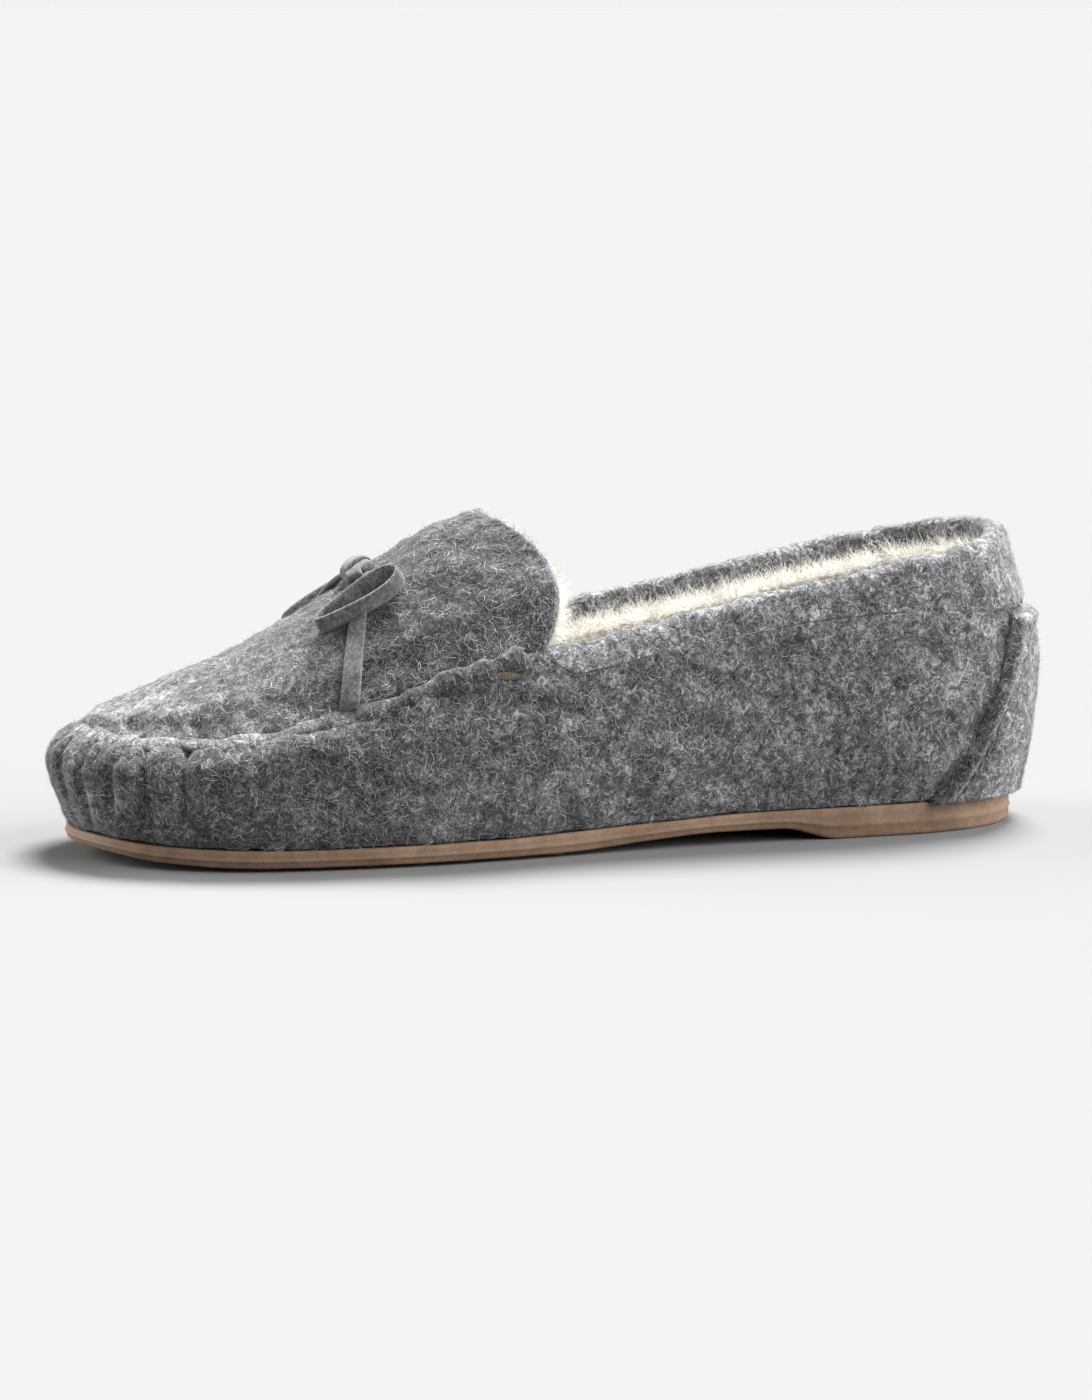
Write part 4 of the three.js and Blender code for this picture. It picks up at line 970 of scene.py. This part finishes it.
flange = lambda share: sole_top(share) + GAP + FELT
board_top = lambda share: flange(share) + (BOARD + GAP)
foam_top = lambda share: board_top(share) + (FOAM + GAP)
sock_top = lambda share: foam_top(share) + (LINING + GAP)
repaint("bottom_filler", fibreboard)
on_board, foam_face = lambda share: board_top(share) + GAP, lambda share: foam_top(share) - 0.2
foam_sheet, _ = slab("foam_sheet", 9.2, on_board, foam_face, 0.2, foam, 12)
attach(foam_sheet, "foam", "footbed_foam")
on_foam, sock_face = lambda share: foam_top(share) + GAP, lambda share: sock_top(share) - 3.2
sock, sock_grid = slab("fur_sock", 9.0, on_foam, sock_face, 1.2, fur_ground, 13)
attach(sock, "fur", "footbed_fur_sock")


# ---- The fur lining ----
# Cream long-pile fur on a knitted backing, lining both quarters, the toe and the underside of the tongue.
# Its tufts lean at random, crowd over the facing and stand out round the tongue's edge.
cream = plain("cream_fur", (0.93, 0.895, 0.82), 0.9, 0.6)
pale_cream = plain("pale_fur", (0.97, 0.955, 0.92), 0.9, 0.6)
# Darker copies of the same two creams, for the fur round the tongue's edge and under the apron where it
# catches more light: painted shade.
painted_shade_cream = plain("painted_shade_cream_fur", (0.64, 0.605, 0.53), 0.9, 0.2)
painted_shade_pale = plain("painted_shade_pale_fur", (0.74, 0.715, 0.66), 0.9, 0.2)

def tuft(name, strands, length, curl, width, seed):
    """A lock of hairs from one root, parting towards their ends."""
    chance = np.random.default_rng(seed)
    points, faces = [], []
    for s in range(strands):
        lean = chance.normal(0, 0.3, 2)
        root = np.array([*chance.normal(0, 0.35, 2), -0.3])
        twist = chance.uniform(0, 6.28)
        reach = length * chance.uniform(0.75, 1.1)
        first = len(points)
        for j in range(4):
            h = j / 3
            bend = curl * h**2
            x = lean[0] * h * reach + bend * math.cos(twist)
            y = lean[1] * h * reach + bend * math.sin(twist)
            spot = root + np.array([x, y, reach * h * (1 - 0.25 * h)])
            w = width * (1 - 0.7 * h) / 2
            side = np.array([math.cos(twist + 1.57), math.sin(twist + 1.57), 0]) * w
            points += [spot + side, spot - side]
        faces += [(first + 2 * j, first + 2 * j + 1, first + 2 * j + 3, first + 2 * j + 2) for j in range(3)]
    return small_shape(name, points, faces)

long_tuft = tuft("long_tuft", 8, 6.0, 2.2, 0.17, 1)
short_tuft = tuft("short_tuft", 8, 4.4, 2.0, 0.17, 2)
fine_tuft = tuft("fine_tuft", 11, 4.6, 2.4, 0.12, 3)

FUR_TILT = 0.75
def fur(name, grid, cover, tufts_per_mm, seed, shape=long_tuft, tones=(cream, pale_cream), sizes=(0.7, 1.15)):
    """Tufts of two creams over a grid of points."""
    return [
        strew(name + word, grid, cover, shape, tone, tufts_per_mm * share, seed + n, FUR_TILT, *sizes, "fur")
        for n, (word, tone, share) in enumerate((("_fur", tones[0], 0.55), ("_pale_fur", tones[1], 0.45)))
    ]

BACKING, STAND_OFF, COUNTER_ROOM = 2.2, 0.6, 1.5
def lining_depth(k, z):
    """How far inside the wall's face the lining's backing lies, with room for the stiffener at the heel."""
    share = rib(k)[2]
    room = (1 - smooth(0.26, 0.3, share)) * (1 - smooth(45, 54, z))
    return FELT + STAND_OFF + room * COUNTER_ROOM

def wall_lining(name, first, last, steps, top_of):
    """The lining of the wall from one column to another, and the grid its tufts stand on."""
    k = np.linspace(first + 0.02, last - 0.02, steps)[:, None]
    share = rib(k)[2]
    low = share_up(k, board_top(share) + GAP)
    f = mix(low, top_of(share), np.linspace(0, 1, 34)[None, :])
    z = mix(sole_top(share) + GAP, rim_top(share), f)
    depth = lining_depth(k, z)
    back = in_wall(k, f, depth)
    swell = 0.5 * lumps(back, 8, 14)
    face = in_wall(k, f, depth + BACKING + swell)
    made = between(name + "_cloth", back, face, fur_ground)
    return attach(made, "fur", name), face[::-1]

rear_top = lambda share: 1 - (FACING_DEPTH + 0.6) / wall_height(share)
toe_top = lambda share: 0.84 + 0.14 * (1 - smooth(0.62, 0.72, share))
for side, first, last, seed in (("lateral", 0, 30, 111), ("medial", 31, 61, 121)):
    lining, face = wall_lining("quarter_lining_" + side, first, last, 170, rear_top)
    hairs = fur("quarter_lining_" + side, face, 1, 0.56, seed)
toe_lining, face = wall_lining("toe_wall_lining", 61, 98, 150, toe_top)
near_throat = 1 - smooth(0.66, 0.76, rib(np.linspace(61.02, 97.98, 150))[2])[::-1, None]
toe_hairs = fur("toe_wall_lining", face, 0.16 + 0.84 * near_throat, 0.6, 131, short_tuft)

i = mix(1.2, STATIONS - 0.15, np.linspace(0, 1, 100))[None, :]
t = np.linspace(-1, 1, 60)[:, None] * (0.84 + 0.1 * smooth(STATIONS - 8, STATIONS - 4, i))
back = in_plug(i, t, FELT + GAP)
face = in_plug(i, t, FELT + GAP + BACKING)
apron_lining = between("apron_lining_cloth", back, face, fur_ground)
attach(apron_lining, "fur", "apron_lining")
edge_cover = 0.25 + 0.75 * smooth(STATIONS - 4, STATIONS - 1, i)
# The apron's tufts take the darker copies of the creams: painted shade.
painted_shade_creams = (painted_shade_cream, painted_shade_pale)
apron_hairs = fur("apron_lining", face[::-1], edge_cover + 0 * t, 0.4, 141, short_tuft, painted_shade_creams)

# Tufts close the corner between wall and plug, crowd over the tongue's edge and bush out at its ears.
i = np.linspace(6, STATIONS - 0.2, 60)[:, None]
for side, word, seed in ((1, "lateral", 181), (-1, "medial", 184)):
    column = TOE_TIP + 1 + i if side > 0 else TOE_TIP - i
    low, high = in_wall(column, 0.92, FELT + 2.5), in_plug(i, side * 0.88, FELT + 2.5)
    strip = np.concatenate([low, 0.5 * (low + high), high], 1)
    fur("seam_lining_" + word, strip[::-side], 1, 0.8, seed, short_tuft)
t_edge = np.linspace(-0.97, 0.97, 120)[:, None]
rim = in_plug(STATIONS - 0.1, t_edge, np.array([[1.8, 3.8, 6.4]]))
rim[..., 1] += [[0.3, 0.6, 0.2]]
# The tongue edge's tufts take the darker copies of the creams: painted shade.
fur("tongue_edge", rim, 1, 2.6, 151, fine_tuft, painted_shade_creams, (0.35, 0.75))
t_corner = np.linspace(0.72, 0.99, 40)[:, None]
for side, word, seed in ((1, "lateral", 155), (-1, "medial", 158)):
    corner = in_plug(STATIONS - 0.1, side * t_corner, np.array([[2.5, 5.0, 8.0]]))
    fur("tongue_corner_" + word, corner[::side], 1, 1.5, seed, fine_tuft, sizes=(0.8, 1.35))

sock_hairs = fur("footbed_sock", np.concatenate([sock_grid, sock_grid[:1]], 0), 1, 0.2, 161, short_tuft)

k = np.linspace(0.4, REAR - 0.4, 360)[:, None]
share = rib(k)[2]
over = in_wall(k, 1 - 6.9 / wall_height(share), np.array([[5.7, 7.8, 10.2]]))
fur("facing_edge", over, 1, 1.2, 171, fine_tuft, sizes=(0.75, 1.3))


# ---- The sewing ----
# Grey waxed thread: short stitches that pull in the plug's seam, a row along the collar and round the heel
# patch, and a bar of tight turns at each throat corner.
thread = tinted("waxed_thread", {
    "noises": [(2, 0.4, 0), (0.3, 0.6, 0)],
    "ramp": [(0.38, (0.05, 0.05, 0.051)), (0.62, (0.16, 0.16, 0.163))],
}, 0.8, 0.1, (0.5, 0.1))
stitch = turned_shape("stitch", [0.05, 0.2, 0.26, 0.2, 0.05], [-1.3, -1.1, 0, 1.1, 1.3], 8)
stitch.data.transform(Matrix.Rotation(math.pi / 2, 4, "Y"))

def stitched(name, node, points, ups, runs, pitch):
    """Stitches every so many millimetres along a line."""
    along = np.concatenate([[0], np.cumsum(np.linalg.norm(np.diff(points, axis=0), axis=1))])
    at = np.arange(pitch / 2, along[-1], pitch)
    pick = lambda rows: np.stack([np.interp(at, along, rows[:, c]) for c in range(3)], -1)
    made = set_in_rows(name, pick(points), pick(runs), pick(ups), stitch, thread)
    attach(made, "sewing", node)

line = spine + hold * (roll_height - 0.12)[:, None]
stitched("seam_stitches", "apron_seam_thread", line, hold, across, 4.3)
k = np.linspace(1, REAR - 1, 700)
f = wall_share(k)
line = in_wall(k, f - 0.012, mix(-0.15, 0.45, smooth(0.05, 0.11, rib(k)[2])))
stitched("collar_stitches", "collar_thread", line, shell_normal(k, f), np.gradient(line, axis=0), 4.2)
u_in, v_in = 0.055, 0.93
sides, top = np.linspace(0.04, v_in, 60), np.linspace(u_in, 1 - u_in, 90)[1:-1]
places = [(u_in, a) for a in sides] + [(a, v_in) for a in top]
places += [(1 - u_in, a) for a in np.linspace(v_in, 0.04, 60)]
k, f = patch_spot(*np.array(places).T)
line = in_wall(k, f, -2.95)
stitched("patch_stitches", "heel_patch_thread", line, shell_normal(k, f), np.gradient(line, axis=0), 3.6)

tan_thread = tinted("tan_thread", {
    "noises": [(1.5, 0.5, 0), (0.3, 0.5, 0)],
    "ramp": [(0.38, (0.06, 0.047, 0.036)), (0.62, (0.2, 0.155, 0.115))],
}, 0.8, 0.1, (0.5, 0.1))
TACK_REACH, TURN_PITCH = 4, 0.55
def tack(word, column):
    """A bar of tight turns across the collar's seam at a throat corner."""
    seam_z = shell(column, 0.97)[2]
    up = share_up(np.array(float(column)), seam_z - 2.4)
    middle, normal = in_wall(column, up, -1.15), shell_normal(float(column), float(up))
    run = unit(np.cross(normal, [0, 0, 1]))
    reach = np.linspace(-TACK_REACH, TACK_REACH, 90)[:, None]
    turns = 1 + 0.1 * np.cos(reach[:, 0] * 2 * np.pi / TURN_PITCH)
    turns += 0.2 * lumps(middle + run * reach, 2.5, 24)
    ends = np.sqrt(np.clip(1 - (np.abs(reach[:, 0]) / (TACK_REACH + 0.05)) ** 6, 0.02, 1))
    upright = np.repeat([[0, 0, 1.0]], 90, 0)
    sizes = (1.0 * turns * ends, 0.75 * turns * ends)
    made = strap("thread_tack_" + word, middle + run * reach, upright, *sizes, tan_thread, square=2)
    attach(made, "sewing", "throat_tack_" + word)

tack("lateral", COLUMNS - 1)
tack("medial", REAR + 1)
